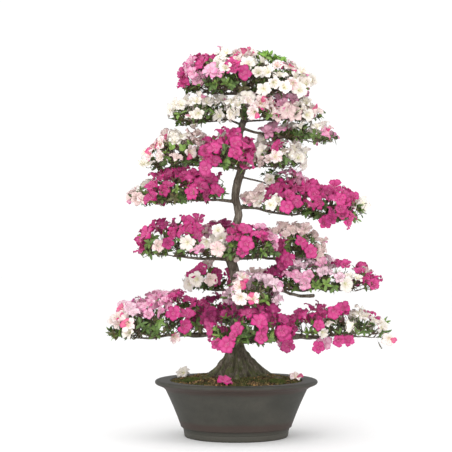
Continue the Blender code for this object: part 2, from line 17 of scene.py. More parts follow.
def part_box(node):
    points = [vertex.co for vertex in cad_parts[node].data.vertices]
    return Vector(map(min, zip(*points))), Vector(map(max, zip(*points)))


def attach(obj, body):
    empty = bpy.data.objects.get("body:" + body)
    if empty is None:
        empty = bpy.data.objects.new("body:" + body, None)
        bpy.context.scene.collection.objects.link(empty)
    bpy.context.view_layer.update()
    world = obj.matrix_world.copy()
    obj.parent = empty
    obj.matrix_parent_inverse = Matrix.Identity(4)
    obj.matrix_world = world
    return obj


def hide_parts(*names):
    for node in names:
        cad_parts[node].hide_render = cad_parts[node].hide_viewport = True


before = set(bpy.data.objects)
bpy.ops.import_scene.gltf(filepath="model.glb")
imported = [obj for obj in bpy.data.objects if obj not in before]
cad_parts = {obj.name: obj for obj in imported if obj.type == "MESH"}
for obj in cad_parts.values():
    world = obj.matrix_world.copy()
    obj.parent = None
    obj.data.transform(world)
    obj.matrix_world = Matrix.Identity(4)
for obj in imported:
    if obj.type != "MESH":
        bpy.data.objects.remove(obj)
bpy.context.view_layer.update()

# Places that the pieces share
POT_LOW, POT_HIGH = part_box("pot")
POT_AXIS = (POT_LOW + POT_HIGH) / 2
RIM = (POT_HIGH.x - POT_LOW.x) / 2
SOIL_LOW, SOIL_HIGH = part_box("soil")
SOIL_REACH = (SOIL_HIGH.x - SOIL_LOW.x) / 2
SOIL_TOP = SOIL_HIGH.z
FLARE_TOP = SOIL_TOP + 0.105

# Blossoms
PETALS = 5
PETAL_ROWS, PETAL_COLS = 8, 7
BLOSSOM_REACH = 0.0240
BLOSSOM_DEPTH = 0.0140
BLOSSOM_SPACING = 0.0208
THROAT_RADIUS = 0.0006
LOBE_HALF_WIDTH = 0.0104
LOBE_START = 0.60
STAMENS = 7
STAMEN_RINGS, STAMEN_SIDES = 6, 3
STAMEN_RADIUS = 0.00035
ANTHER_SWELL = (1, 1, 1, 1, 2.2, 1.8)
STALK_LENGTH = 0.013
STALK_RADIUS = 0.0012

# Leaves and twigs
LEAF_LENGTH = 0.0215
LEAF_HALF_WIDTH = 0.0044
LEAF_ROWS, LEAF_COLS = 6, 3
WHORL_LEAVES = 6
LEAF_SPACING = 0.0190
HANGING_SPACING = 0.024
INNER_WHORLS_PER_LITRE = 17
LEAF_SPRAY_WEIGHT = 3.2
CLUMP_SCALE = 26
TWIG_RADIUS = 0.0010
SHOOT_RADIUS = 0.0019
SHOOT_SPACING = 0.045

# Wood
BARK_VOXEL = 0.0020
TOES = 11
TOE_STEPS = 11
FLARE_FOOT = 0.078
LIMB_CLEAR_OF_TRUNK = 0.035
DEEPEST_FOLD, TALLEST_RIDGE = 0.009, 0.006
STOUTEST = 0.05

# Pot
POT_SEGMENTS = 160
WALL_STEPS = 12
POT_FLOOR = 0.021
FOOT_HOLLOW = 0.0080
DRAIN_RADIUS = 0.017
VENT_SIZE = (0.052, 0.036, 0.011)
VENT_FROM_AXIS = 0.13

# Soil
EARTH_RINGS, EARTH_SEGMENTS = 54, 150
SOCKET_DEPTH = 0.022
GRAIN_COUNT = 5200
GRAIN_SIZE = 0.0024
MOSS_SPACING = 0.0011
MOSS_BLADES = 2600
MOSS_BLADE_RADIUS = 0.00055

# Studio
CAMERA_SIDE, CAMERA_AWAY, CAMERA_HEIGHT = 0.0284, 4.5, 0.581
CAMERA_LENS, CAMERA_SENSOR = 129.6, 36.0
LAMPS = (
    ("key", (-1.5, -3.6, 2.0), 2.2, 50.0),
    ("fill", (1.3, -4.3, 0.7), 2.0, 44.0),
    ("top", (0.2, -0.2, 3.2), 2.0, 6.0),
)


def srgb(code):
    """Linear colour from a six-digit hex code."""
    parts = [int(code[i : i + 2], 16) / 255 for i in (0, 2, 4)]
    return tuple(c / 12.92 if c <= 0.04045 else ((c + 0.055) / 1.055) ** 2.4 for c in parts)


# ---------------------------------------------------------------- materials

class Wire:
    """An output socket. Python's operators on it add Math nodes."""

    def __init__(self, graph, socket):
        self.graph = graph
        self.socket = socket

    def math(self, operation, *inputs, clamp=False):
        settings = {"operation": operation, "use_clamp": clamp}
        return self.graph.node("ShaderNodeMath", settings, *inputs)

    def __add__(self, other):
        return self.math("ADD", self, other)

    def __sub__(self, other):
        return self.math("SUBTRACT", self, other)

    def __rsub__(self, other):
        return self.math("SUBTRACT", other, self)

    def __mul__(self, other):
        return self.math("MULTIPLY", self, other)

    def __truediv__(self, other):
        return self.math("DIVIDE", self, other)

    def __abs__(self):
        return self.math("ABSOLUTE", self)

    __radd__ = __add__
    __rmul__ = __mul__

    def clamped(self):
        return self.math("ADD", self, 0.0, clamp=True)

    def step(self, low, high):
        """0 below low, 1 above high and smooth between them. It falls where high is the lower."""
        settings = {"interpolation_type": "SMOOTHSTEP"}
        if low < high:
            return self.graph.node("ShaderNodeMapRange", settings, self, low, high)
        return 1 - self.graph.node("ShaderNodeMapRange", settings, self, high, low)


class Finish:
    """One material: a Principled shader and the nodes that feed it."""

    def __init__(self, name, roughness=0.6, **uniform):
        self.material = bpy.data.materials.new(name)
        self.material.use_nodes = True
        self.nodes = self.material.node_tree.nodes
        self.links = self.material.node_tree.links
        self.shader = self.nodes["Principled BSDF"]
        self.shader.inputs["Roughness"].default_value = roughness
        for key, value in uniform.items():
            self.shader.inputs[key.replace("_", " ")].default_value = value

    def feed(self, socket, value):
        if isinstance(value, Wire):
            self.links.new(value.socket, socket)
        elif hasattr(value, "__len__") and socket.type == "RGBA":
            socket.default_value = (*value, 1.0)
        else:
            socket.default_value = value

    def node(self, kind, settings, *inputs, out=0, **named):
        """Adds a node. Its settings and ramp stops are set first, then its sockets."""
        made = self.nodes.new(kind)
        stops = settings.pop("stops", None)
        for key, value in settings.items():
            setattr(made, key, value)
        if stops:
            ramp = made.color_ramp.elements
            while len(ramp) < len(stops):
                ramp.new(1.0)
            for element, (place, colour) in zip(ramp, stops):
                element.position = place
                element.color = (*colour, 1.0)
        for socket, value in zip(made.inputs, inputs):
            self.feed(socket, value)
        for key, value in named.items():
            self.feed(made.inputs[key.replace("_", " ")], value)
        return Wire(self, made.outputs[out])

    def mix(self, factor, under, over):
        """Lays one colour over another. A Mix node has its colour sockets after those of other kinds."""
        made = self.nodes.new("ShaderNodeMix")
        made.data_type = "RGBA"
        for number, value in ((0, factor), (6, under), (7, over)):
            self.feed(made.inputs[number], value)
        return Wire(self, made.outputs[2])

    def attribute(self, name, out="Vector"):
        return self.node("ShaderNodeAttribute", {"attribute_name": name}, out=out)

    def split(self, vector):
        parts = self.nodes.new("ShaderNodeSeparateXYZ")
        self.feed(parts.inputs[0], vector)
        return [Wire(self, output) for output in parts.outputs]

    def join(self, x, y, z):
        return self.node("ShaderNodeCombineXYZ", {}, x, y, z)

    def stretched(self, vector, x, y, z):
        return self.node("ShaderNodeVectorMath", {"operation": "MULTIPLY"}, vector, (x, y, z))

    def noise(self, vector, scale, detail=3.0, roughness=0.55):
        named = {"Vector": vector, "Scale": scale, "Detail": detail, "Roughness": roughness}
        return self.node("ShaderNodeTexNoise", {}, **named)

    def cells(self, vector, scale, out="Distance", **settings):
        return self.node("ShaderNodeTexVoronoi", settings, out=out, Vector=vector, Scale=scale)

    def ramp(self, factor, *stops):
        return self.node("ShaderNodeValToRGB", {"stops": stops}, factor)

    def bump(self, height, strength, distance):
        return self.node("ShaderNodeBump", {}, Strength=strength, Distance=distance, Height=height)

    def place(self):
        return self.node("ShaderNodeTexCoord", {}, out="Object")

    def finish(self, colour=None, roughness=None, normal=None):
        for name, value in (("Base Color", colour), ("Roughness", roughness), ("Normal", normal)):
            if value is not None:
                self.feed(self.shader.inputs[name], value)
        return self.material


def petal_finish():
    """Petals take their colours from the blossom and their markings from the place on the petal."""
    f = Finish("petal", 0.55, Specular_IOR_Level=0.30, Sheen_Weight=0.15)
    across, along, seed = f.split(f.attribute("petal_place"))
    streaks, pale_middle_and_highlight, spots = f.split(f.attribute("petal_marks"))
    tint = f.attribute("petal_tint", "Color")
    accent = f.attribute("petal_accent", "Color")
    throat = f.attribute("petal_throat", "Color")
    centre = abs(across)
    fan = f.join(across * 1.6 + seed * 31, along * 0.45, seed * 17)
    streak = f.noise(fan, 3.2, 2.0).step(0.56, 0.62) * streaks
    vein = f.noise(f.join(across * 9 + seed * 13, along * 1.2, seed * 5), 1.6, 3.0)
    # The pale middle of each petal: partly its own paler colour, partly a painted highlight
    pale = (1 - centre).step(-0.9, 0.9) * along.step(0.15, 0.40) * along.step(0.92, 0.55) * pale_middle_and_highlight
    freckle = f.cells(f.join(across * 2.2, along * 4.2, seed * 9), 5.5).step(0.34, 0.22)
    blotch = freckle * centre.step(0.62, 0.30) * along.step(0.22, 0.34) * along.step(0.72, 0.52) * spots
    colour = f.mix(pale * 0.75, tint, throat)
    colour = f.mix(vein.step(0.42, 0.72) * 0.16, colour, accent)
    colour = f.mix(along.step(0.80, 1.0) * 0.18, colour, tint)
    colour = f.mix(streak, colour, accent)
    colour = f.mix(blotch * 0.75, colour, accent)
    colour = f.mix(along.step(0.30, 0.05) * 0.8, colour, throat)
    return f.finish(colour, None, f.bump(vein + along * 0.2, 0.35, 0.0012))


def stamen_finish():
    f = Finish("stamen", 0.5)
    along = f.split(f.attribute("petal_place"))[1]
    colour = f.mix(along.step(0.86, 0.90), f.attribute("petal_throat", "Color"), srgb("9a6b4c"))
    return f.finish(colour, None, f.bump(f.noise(f.place(), 900.0), 0.2, 0.0005))


def leaf_finish(name, dark, mid, light):
    f = Finish(name, 0.42, Specular_IOR_Level=0.45)
    across, along, seed = f.split(f.attribute("leaf_place"))
    browned, fresh = srgb("55452f"), srgb("86b845")
    ages = ((0.0, browned), (0.14, browned), (0.2, dark), (0.5, mid), (0.85, light), (1.0, fresh))
    colour = f.ramp(seed, *ages)
    patch = f.noise(f.join(across * 2 + seed * 40, along * 2, seed * 9), 2.5)
    colour = f.mix(patch.step(0.45, 0.75) * 0.35, colour, mid)
    rib = abs(across).step(0.22, 0.05)
    colour = f.mix(rib * 0.45, colour, light)
    slanted = f.join(0.0, along - abs(across) * 0.25, 0.0)
    side_veins = f.node("ShaderNodeTexWave", {"bands_direction": "Y"}, Vector=slanted, Scale=3.2)
    colour = f.mix(side_veins * 0.10, colour, dark)
    height = rib * 0.6 + side_veins * 0.3 + patch * 0.3
    return f.finish(colour, 0.38 + patch * 0.18, f.bump(height, 0.5, 0.0010))


def twig_finish():
    f = Finish("twig", 0.8)
    place = f.place()
    grain = f.noise(f.stretched(place, 1, 1, 0.5), 260.0, 4.0)
    colour = f.ramp(grain, (0.25, srgb("2f241b")), (0.55, srgb("57483a")), (0.8, srgb("7a6a55")))
    return f.finish(colour, None, f.bump(grain, 0.6, 0.0008))


def bark_finish():
    """Dark grey-brown bark, paler where it flakes, greened with moss over the roots."""
    f = Finish("bark", 0.85, Specular_IOR_Level=0.25)
    place = f.place()
    height = f.split(place)[2]
    upward = f.split(f.node("ShaderNodeNewGeometry", {}, out="Normal"))[2]
    fibre = f.noise(f.stretched(place, 1, 1, 0.22), 210.0, 6.0, 0.65)
    plates = f.noise(f.stretched(place, 1, 1, 0.35), 55.0, 5.0, 0.6)
    crack = f.cells(f.stretched(place, 1, 1, 0.25), 120.0, feature="DISTANCE_TO_EDGE")
    greys = ((0.25, "3a322a"), (0.45, "635b4f"), (0.62, "888073"), (0.85, "a8a093"))
    colour = f.ramp(plates, *((stop, srgb(grey)) for stop, grey in greys))
    colour = f.mix(fibre.step(0.35, 0.7) * 0.45, colour, srgb("463b30"))
    colour = f.mix(crack.step(0.10, 0.0) * 0.5, colour, srgb("1d1712"))
    low = height.step(FLARE_TOP + 0.03, SOIL_TOP + 0.01)
    damp = f.noise(place, 38.0, 4.0)
    colour = f.mix(low * damp.step(0.38, 0.62) * 0.55, colour, srgb("4c4f35"))
    colour = f.mix(upward.step(0.2, 0.8) * damp.step(0.42, 0.6) * low * 0.7, colour, srgb("56602f"))
    relief = fibre * 0.6 + plates * 0.8 + crack.step(0.0, 0.2) * 0.4
    return f.finish(colour, 0.75 + fibre * 0.2, f.bump(relief, 0.9, 0.0022))


def stoneware_finish():
    """Unglazed grey-green stoneware with brown bands where the fire reddened it."""
    f = Finish("stoneware", 0.6, Specular_IOR_Level=0.35)
    place = f.place()
    level = f.split(place)[2] / POT_HIGH.z
    cloud = f.noise(f.stretched(place, 1, 1, 1.6), 9.0, 5.0, 0.6)
    turning = f.noise(f.stretched(place, 0.06, 0.06, 1), 420.0, 3.0)
    grit = f.noise(place, 620.0, 3.0, 0.7)
    speck = f.cells(place, 300.0).step(0.30, 0.12)
    colour = f.ramp(cloud, (0.30, srgb("2f2f29")), (0.50, srgb("393832")), (0.72, srgb("45433c")))
    band = level + (cloud - 0.5) * 0.10
    lip_band = band.step(0.80, 0.86) * band.step(0.97, 0.92)
    foot_band = band.step(0.34, 0.26) * band.step(0.14, 0.20)
    colour = f.mix((lip_band + foot_band * 1.1).clamped() * 0.70, colour, srgb("40302b"))
    colour = f.mix(band.step(0.18, 0.06) * 0.5, colour, srgb("524f47"))
    colour = f.mix(grit.step(0.52, 0.75) * 0.22, colour, srgb("6e6b61"))
    colour = f.mix(speck * 0.35, colour, srgb("2e2b27"))
    relief = turning * 0.45 + grit * 0.5 + cloud * 0.2
    return f.finish(colour, 0.50 + cloud * 0.22 + grit * 0.08, f.bump(relief, 0.5, 0.0012))


def grain_finish(name, dark, mid, light):
    """Loose grains, each of its own colour."""
    f = Finish(name, 0.9, Specular_IOR_Level=0.2)
    seed = f.split(f.attribute("grain_place"))[0]
    place = f.place()
    pits = f.noise(place, 700.0, 3.0)
    colour = f.ramp(seed, (0.0, dark), (0.35, mid), (0.75, light), (1.0, srgb("b08a5a")))
    colour = f.mix(pits.step(0.4, 0.7) * 0.3, colour, dark)
    mossy = f.noise(place, 24.0, 4.0).step(0.44, 0.58)
    colour = f.mix(mossy * 0.75, colour, srgb("414a24"))
    return f.finish(colour, None, f.bump(pits, 0.6, 0.0008))


def earth_finish():
    f = Finish("damp_earth", 0.95, Specular_IOR_Level=0.15)
    place = f.place()
    crumbs = f.cells(place, 190.0)
    patch = f.noise(place, 24.0, 4.0)
    colour = f.ramp(crumbs, (0.0, srgb("6d5a3c")), (0.5, srgb("463826")), (1.0, srgb("221b12")))
    colour = f.mix(patch.step(0.42, 0.55) * 0.8, colour, srgb("39401f"))
    return f.finish(colour, None, f.bump(1 - crumbs, 1.0, 0.003))


def moss_finish():
    f = Finish("moss", 0.95, Specular_IOR_Level=0.15)
    _, along, seed = f.split(f.attribute("leaf_place"))
    colour = f.ramp(seed, (0.0, srgb("2b3417")), (0.5, srgb("47542a")), (1.0, srgb("768046")))
    colour = f.mix(along.step(0.3, 1.0) * 0.3, colour, srgb("8a9450"))
    return f.finish(colour, None, f.bump(f.noise(f.place(), 500.0), 0.5, 0.001))


def plain_finish(name, light, dark, scale, roughness):
    """A simple mottled finish for what lies hidden in the pot."""
    f = Finish(name, roughness)
    mottle = f.noise(f.place(), scale, 4.0)
    colour = f.ramp(mottle, (0.3, dark), (0.7, light))
    return f.finish(colour, None, f.bump(mottle, 0.5, 0.001))


# ---------------------------------------------------------------- mesh tools

def grid_quads(rows, cols):
    """The quads of one grid of points, as indices."""
    index = np.arange(rows * cols).reshape(rows, cols)
    corners = (index[:-1, :-1], index[:-1, 1:], index[1:, 1:], index[1:, :-1])
    return np.stack([c.ravel() for c in corners], 1)


def tube_quads(rings, sides):
    index = np.arange(rings * sides).reshape(rings, sides)
    turned = np.roll(index, -1, axis=1)
    corners = (index[:-1], turned[:-1], turned[1:], index[1:])
    return np.stack([c.ravel() for c in corners], 1)


def bases_for(directions, spins):
    """Rotation matrices whose third column is the direction, turned about it by the spin."""
    z = directions / np.linalg.norm(directions, axis=1, keepdims=True)
    helper = np.where(np.abs(z[:, 2:]) < 0.9, [[0.0, 0.0, 1.0]], [[1.0, 0.0, 0.0]])
    x = np.cross(helper, z)
    x /= np.linalg.norm(x, axis=1, keepdims=True)
    y = np.cross(z, x)
    c, s = np.cos(spins)[:, None], np.sin(spins)[:, None]
    return np.stack([x * c + y * s, y * c - x * s, z], 2)


class Growth:
    """Gathers many small shapes into one mesh, with their attributes and a bake map."""

    def __init__(self):
        self.points, self.quads, self.kinds, self.count = [], [], [], 0
        self.fields = {}
        self.maps = []

    def add(self, points, quads, fields, kind=0, plane=None):
        """points is (copies, points of one, 3), and each field has a row for each point."""
        copies, each = points.shape[:2]
        starts = self.count + each * np.arange(copies)
        self.points.append(points.reshape(-1, 3))
        self.quads.append((quads[None] + starts[:, None, None]).reshape(-1, 4))
        self.kinds.append(np.full(copies * len(quads), kind, np.int32))
        for key, value in fields.items():
            wide = np.broadcast_to(value, (copies, each, value.shape[-1]))
            self.fields.setdefault(key, []).append((self.count, wide.reshape(copies * each, -1)))
        flat = np.full((each, 2), 0.5) if plane is None else plane
        self.maps.append((copies, flat))
        self.count += copies * each

    def piece(self, name, materials, replaces=()):
        points = np.concatenate(self.points)
        quads = np.concatenate(self.quads)
        mesh = bpy.data.meshes.new(name)
        mesh.vertices.add(len(points))
        mesh.vertices.foreach_set("co", points.astype(np.float32).ravel())
        mesh.loops.add(quads.size)
        mesh.loops.foreach_set("vertex_index", quads.astype(np.int32).ravel())
        mesh.polygons.add(len(quads))
        mesh.polygons.foreach_set("loop_start", np.arange(0, quads.size, 4, dtype=np.int32))
        mesh.polygons.foreach_set("material_index", np.concatenate(self.kinds))
        mesh.update(calc_edges=True)
        for key, parts in self.fields.items():
            values = np.zeros((len(points), 3), np.float32)
            for start, part in parts:
                values[start : start + len(part)] = part
            mesh.attributes.new(key, "FLOAT_VECTOR", "POINT").data.foreach_set("vector", values.ravel())
        self.lay_map(mesh, quads)
        mesh.shade_smooth()
        for finish in materials:
            mesh.materials.append(finish)
        put(bpy.data.objects.new(name, mesh), replaces)

    def lay_map(self, mesh, quads):
        """A square cell of the bake map for each small shape."""
        total = sum(copies for copies, _ in self.maps)
        side = math.ceil(math.sqrt(total))
        spots, first = [], 0
        for copies, flat in self.maps:
            cell = first + np.arange(copies)
            corner = np.stack([cell % side, cell // side], 1)[:, None, :]
            spots.append((corner + 0.06 + 0.88 * flat[None]).reshape(-1, 2) / side)
            first += copies
        spots = np.concatenate(spots)[quads.ravel()]
        layer = mesh.uv_layers.new(name="OFBake")
        layer.uv.foreach_set("vector", spots.astype(np.float32).ravel())


def put(made, replaces=()):
    """Links a piece, ties it to the tree's one body and hides the CAD parts that it stands for."""
    if made.name not in bpy.context.scene.collection.objects:
        bpy.context.scene.collection.objects.link(made)
    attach(made, "root")
    if replaces:
        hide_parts(*replaces)


def round_pot(radius, turn):
    """The place at that radius and turn about the pot's axis."""
    return POT_AXIS.x + radius * math.cos(turn), POT_AXIS.y + radius * math.sin(turn)


def triangles(node):
    """The corner points of a CAD node's triangles, (n, 3, 3)."""
    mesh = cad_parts[node].data
    mesh.calc_loop_triangles()
    points = np.empty(len(mesh.vertices) * 3, np.float32)
    mesh.vertices.foreach_get("co", points)
    corners = np.empty(len(mesh.loop_triangles) * 3, np.int32)
    mesh.loop_triangles.foreach_get("vertices", corners)
    return points.reshape(-1, 3).astype(float)[corners.reshape(-1, 3)]


def facing(corners):
    normal = np.cross(corners[:, 1] - corners[:, 0], corners[:, 2] - corners[:, 0])
    area = np.linalg.norm(normal, axis=1)
    return normal / np.maximum(area, 1e-12)[:, None], area / 2


def scatter(corners, spacing, rng, tries=12):
    """Points on the triangles, none nearer to another than the spacing, with their normals."""
    normals, areas = facing(corners)
    count = int(tries * areas.sum() / spacing**2)
    chosen = rng.choice(len(areas), count, p=areas / areas.sum())
    a, b = rng.random(count), rng.random(count)
    flip = a + b > 1
    a, b = np.where(flip, 1 - a, a), np.where(flip, 1 - b, b)
    t = corners[chosen]
    points = t[:, 0] + a[:, None] * (t[:, 1] - t[:, 0]) + b[:, None] * (t[:, 2] - t[:, 0])
    kept = []
    for i, point in enumerate(points):
        if not kept or np.min(np.sum((points[kept] - point) ** 2, 1)) > spacing**2:
            kept.append(i)
    return points[kept], normals[chosen[kept]]


def inside(node, count, rng):
    """Random points inside a CAD solid."""
    corners = triangles(node)
    low, high = corners.min((0, 1)), corners.max((0, 1))
    points = corners.reshape(-1, 3)
    shell = BVHTree.FromPolygons(points.tolist(), np.arange(len(points)).reshape(-1, 3).tolist())
    found = []
    while len(found) < count:
        point = Vector(low + rng.random(3) * (high - low))
        nearest, normal, _, _ = shell.find_nearest(point)
        if nearest and (point - nearest).dot(normal) < 0:
            found.append(point)
    return np.array(found).reshape(-1, 3)


# ---------------------------------------------------------------- blossoms

# petal, accent and throat colours, how strong the streaks, pale middle and freckles are, and the
# share of petals that come up wholly in the accent colour. The pale middle is partly the petal's
# own paler colour and partly a painted highlight.
BLOSSOM_KINDS = {
    "white": ("f8f4ec", "dc86ae", "eeebc4", 0.12, 0.25, 0.08, 0.02),
    "striped": ("f7efea", "d2327f", "f0e6c8", 1.00, 0.25, 0.25, 0.14),
    "blush": ("f5ddd7", "cd6f9c", "f2e9dc", 0.50, 0.40, 0.25, 0.05),
    "lilac": ("efccd9", "b9468c", "f3e3e6", 0.60, 0.60, 0.35, 0.04),
    "pink": ("e48ab6", "c43a80", "f6dbe4", 0.50, 0.75, 0.45, 0.06),
    "magenta": ("c21d77", "8f0d50", "e882b6", 0.25, 0.40, 0.45, 0.0),
    # deep is magenta painted darker, a painted shade for magenta blossoms that lie in shadow
    "deep": ("a01862", "720a42", "cc5a98", 0.15, 0.45, 0.50, 0.0),
}


def petal_points(rng, count):
    """Points of the petals in each blossom's own frame, which opens along +Z.

    The petals are joined into a funnel at the throat and part into round lobes. Each edge is
    ruffled, each tip curls over, and every blossom is open to its own degree.
    """
    along = np.linspace(0, 1, PETAL_ROWS)[:, None]
    across = np.linspace(-1, 1, PETAL_COLS)[None, :]

    def each(low, high):
        return rng.uniform(low, high, (count, PETALS, 1, 1))

    size = rng.uniform(0.86, 1.10, (count, 1, 1, 1)) * each(0.95, 1.06)
    open_share = rng.uniform(0.62, 1.10, (count, 1, 1, 1))
    reach = BLOSSOM_REACH * size * open_share**0.5
    depth = BLOSSOM_DEPTH * size / open_share * each(0.88, 1.12)
    radius = THROAT_RADIUS + (reach - THROAT_RADIUS) * along
    curl_over = 0.0050 * size * np.clip(along - 0.58, 0, 1) ** 2 / 0.16
    height = depth * (1 - (1 - along) ** 2.0) - curl_over
    joined = radius * math.tan(math.pi / PETALS) * (1.08 - 1.3 * np.clip(along - 0.46, 0, 1))
    tip = np.clip(along - LOBE_START, 0, 1) / 0.415
    lobe = LOBE_HALF_WIDTH * size * each(0.9, 1.1) * np.clip(1 - tip**2, 0, 1) ** 0.62
    width = np.minimum(joined, lobe)
    radius = radius - 0.0030 * across**2 * along**4
    ruffle = each(0.0018, 0.0038) * np.sin(4.4 * across + each(0, 6.3) + 2.5 * along)
    ruffle = ruffle * np.abs(across) * along**2
    frill = each(0.0003, 0.0009) * np.sin(9 * across + each(0, 6.3)) * along**3
    height = height + ruffle + frill + each(-0.0030, 0.0030) * across * along
    height = height - 0.0024 * across**2 * along**2 * each(0, 1)
    furrow = 0.0010 * (1 - across**2) * along * (1 - along) * 4
    height = height - furrow + each(-0.0050, 0.0030) * along**2
    turn = 2 * math.pi * np.arange(PETALS)[None, :, None, None] / PETALS + each(-0.07, 0.07)
    side = across * width
    x = radius * np.cos(turn) - side * np.sin(turn)
    y = radius * np.sin(turn) + side * np.cos(turn)
    return np.stack(np.broadcast_arrays(x, y, height), -1)


def tubes(starts, bends, ends, radii, sides=4, rings=4):
    """Curved tubes from starts to ends that lean towards bends, (copies, rings * sides, 3)."""
    t = np.linspace(0, 1, rings)[None, :, None]
    path = (1 - t) ** 2 * starts[:, None] + 2 * t * (1 - t) * bends[:, None] + t**2 * ends[:, None]
    along = 2 * (1 - t) * (bends - starts)[:, None] + 2 * t * (ends - bends)[:, None] + 1e-9
    frames = bases_for(along.reshape(-1, 3), np.zeros(along.shape[0] * rings))
    frames = frames.reshape(-1, rings, 3, 3)
    turns = 2 * math.pi * np.arange(sides) / sides
    sideways = np.cos(turns)[:, None] * frames[:, :, None, :, 0]
    ring = sideways + np.sin(turns)[:, None] * frames[:, :, None, :, 1]
    taper = np.asarray(radii).reshape(-1, 1, 1, 1) * (1 - 0.35 * t[..., None])
    return (path[:, :, None] + ring * taper).reshape(len(starts), rings * sides, 3)


def tube_place(rings, sides, seeds):
    """The place along each tube and its seed, for the finishes."""
    along = np.repeat(np.linspace(0, 1, rings), sides)
    place = np.zeros((len(seeds), rings * sides, 3))
    place[:, :, 1] = along
    place[:, :, 2] = seeds[:, None]
    return place


def tube_plane(rings, sides):
    around, along = np.meshgrid(np.linspace(0, 1, sides), np.linspace(0, 1, rings))
    return np.stack([around.ravel(), along.ravel()], 1)


def sheet_grid(rows, cols):
    """Place across, from -1 to 1, and along, from 0 to 1, of each point of a petal or leaf."""
    across, along = np.meshgrid(np.linspace(-1, 1, cols), np.linspace(0, 1, rows))
    return across.ravel(), along.ravel(), np.stack([(across.ravel() + 1) / 2, along.ravel()], 1)


def add_blossoms(growth, bases, directions, kinds, rng):
    """Adds open blossoms to a growth: petals, stamens with dark anthers, and a stalk."""
    count = len(bases)
    frames = bases_for(directions, rng.uniform(0, 6.3, count))
    seeds = rng.random(count)
    looks = [BLOSSOM_KINDS[kind] for kind in kinds]
    shade = rng.uniform(0.72, 1.04, (count, 1)) ** 0.8
    tint, accent, throat = (np.array([srgb(look[i]) for look in looks]) for i in range(3))
    colours = {"petal_tint": tint * shade, "petal_accent": accent, "petal_throat": throat}
    add_petals(growth, bases, frames, seeds, looks, colours, rng)
    add_stamens(growth, bases, frames, seeds, colours, rng)

    axes = frames[:, :, 2]
    foot = bases - axes * STALK_LENGTH
    stalk = tubes(foot, bases - axes * 0.004, bases + axes * 0.001, np.full(count, STALK_RADIUS))
    place = {"leaf_place": tube_place(4, 4, 0.3 * seeds + 0.3)}
    growth.add(stalk, tube_quads(4, 4), place, 2, tube_plane(4, 4))
    return foot


def add_petals(growth, bases, frames, seeds, looks, colours, rng):
    count = len(bases)
    marks = np.array([look[3:6] for look in looks])
    turned_share = np.array([look[6] for look in looks])[:, None]
    marks[:, 0] *= rng.uniform(0.2, 1.4, count)

    local = petal_points(rng, count).reshape(count, PETALS, -1, 3)
    world = np.einsum("cij,cpvj->cpvi", frames, local) + bases[:, None, None]
    grid = PETAL_ROWS * PETAL_COLS
    across, along, plane = sheet_grid(PETAL_ROWS, PETAL_COLS)
    place = np.zeros((count, PETALS, grid, 3))
    place[..., 0] = across
    place[..., 1] = along
    place[..., 2] = (seeds[:, None] + 0.137 * np.arange(PETALS))[..., None] % 1
    freckled = np.array([1, 0.35, 0, 0, 0.35])[None, :, None]
    petal_marks = np.repeat(marks[:, None], PETALS, 1)
    petal_marks[..., 2:] *= freckled
    fields = {key: np.repeat(value, PETALS, 0)[:, None] for key, value in colours.items()}
    turned_petals = (rng.random((count, PETALS)) < turned_share).reshape(-1, 1, 1)
    fields["petal_tint"] = np.where(turned_petals, fields["petal_accent"], fields["petal_tint"])
    fields["petal_place"] = place.reshape(-1, grid, 3)
    fields["petal_marks"] = petal_marks.reshape(-1, 1, 3)
    growth.add(world.reshape(-1, grid, 3), grid_quads(PETAL_ROWS, PETAL_COLS), fields, 0, plane)


def add_stamens(growth, bases, frames, seeds, colours, rng):
    """Fine threads that rise out of the throat and swell into an anther at the end."""
    count = len(bases)
    turns = rng.uniform(0, 6.3, (count, STAMENS))
    spread = rng.uniform(0.15, 0.42, (count, STAMENS)) * BLOSSOM_REACH
    rise = rng.uniform(0.95, 1.30, (count, STAMENS)) * BLOSSOM_DEPTH
    tips = np.stack([spread * np.cos(turns), spread * np.sin(turns), rise], -1)
    bends = tips * [0.2, 0.2, 0.75]

    def to_world(points):
        return (np.einsum("cij,csj->csi", frames, points) + bases[:, None]).reshape(-1, 3)

    rings, sides = STAMEN_RINGS, STAMEN_SIDES
    starts = np.repeat(bases, STAMENS, 0)
    radii = np.full(count * STAMENS, STAMEN_RADIUS)
    threads = tubes(starts, to_world(bends), to_world(tips), radii, sides, rings)
    threads = threads.reshape(-1, rings, sides, 3)
    middle = threads.mean(2, keepdims=True)
    swell = np.array(ANTHER_SWELL)[None, :, None, None]
    threads = (middle + (threads - middle) * swell).reshape(-1, rings * sides, 3)
    fields = {key: np.repeat(value, STAMENS, 0)[:, None] for key, value in colours.items()}
    fields["petal_place"] = tube_place(rings, sides, np.repeat(seeds, STAMENS))
    growth.add(threads, tube_quads(rings, sides), fields, 1, tube_plane(rings, sides))


# ---------------------------------------------------------------- leaves

def leaf_points(rng, count, length, half_width):
    """A folded, slightly curled leaf along +Y with its face up, (count, points, 3)."""
    along = np.linspace(0, 1, LEAF_ROWS)[None, :, None]
    across = np.linspace(-1, 1, LEAF_COLS)[None, None, :]
    length = length * rng.uniform(0.65, 1.15, (count, 1, 1))
    width = half_width * rng.uniform(0.8, 1.2, (count, 1, 1))
    outline = np.sin(math.pi * np.clip(along, 0.02, 0.985) ** 1.15) ** 0.72
    x = across * width * outline
    y = along * length
    curl = rng.uniform(-0.001, 0.006, (count, 1, 1))
    fold = rng.uniform(0.10, 0.45, (count, 1, 1))
    twist = rng.uniform(-0.0012, 0.0012, (count, 1, 1)) * along * across
    z = np.abs(x) * fold - curl * along**2 + twist
    x, y, z = np.broadcast_arrays(x, y, z)
    return np.stack([x, y, z], -1).reshape(count, -1, 3)


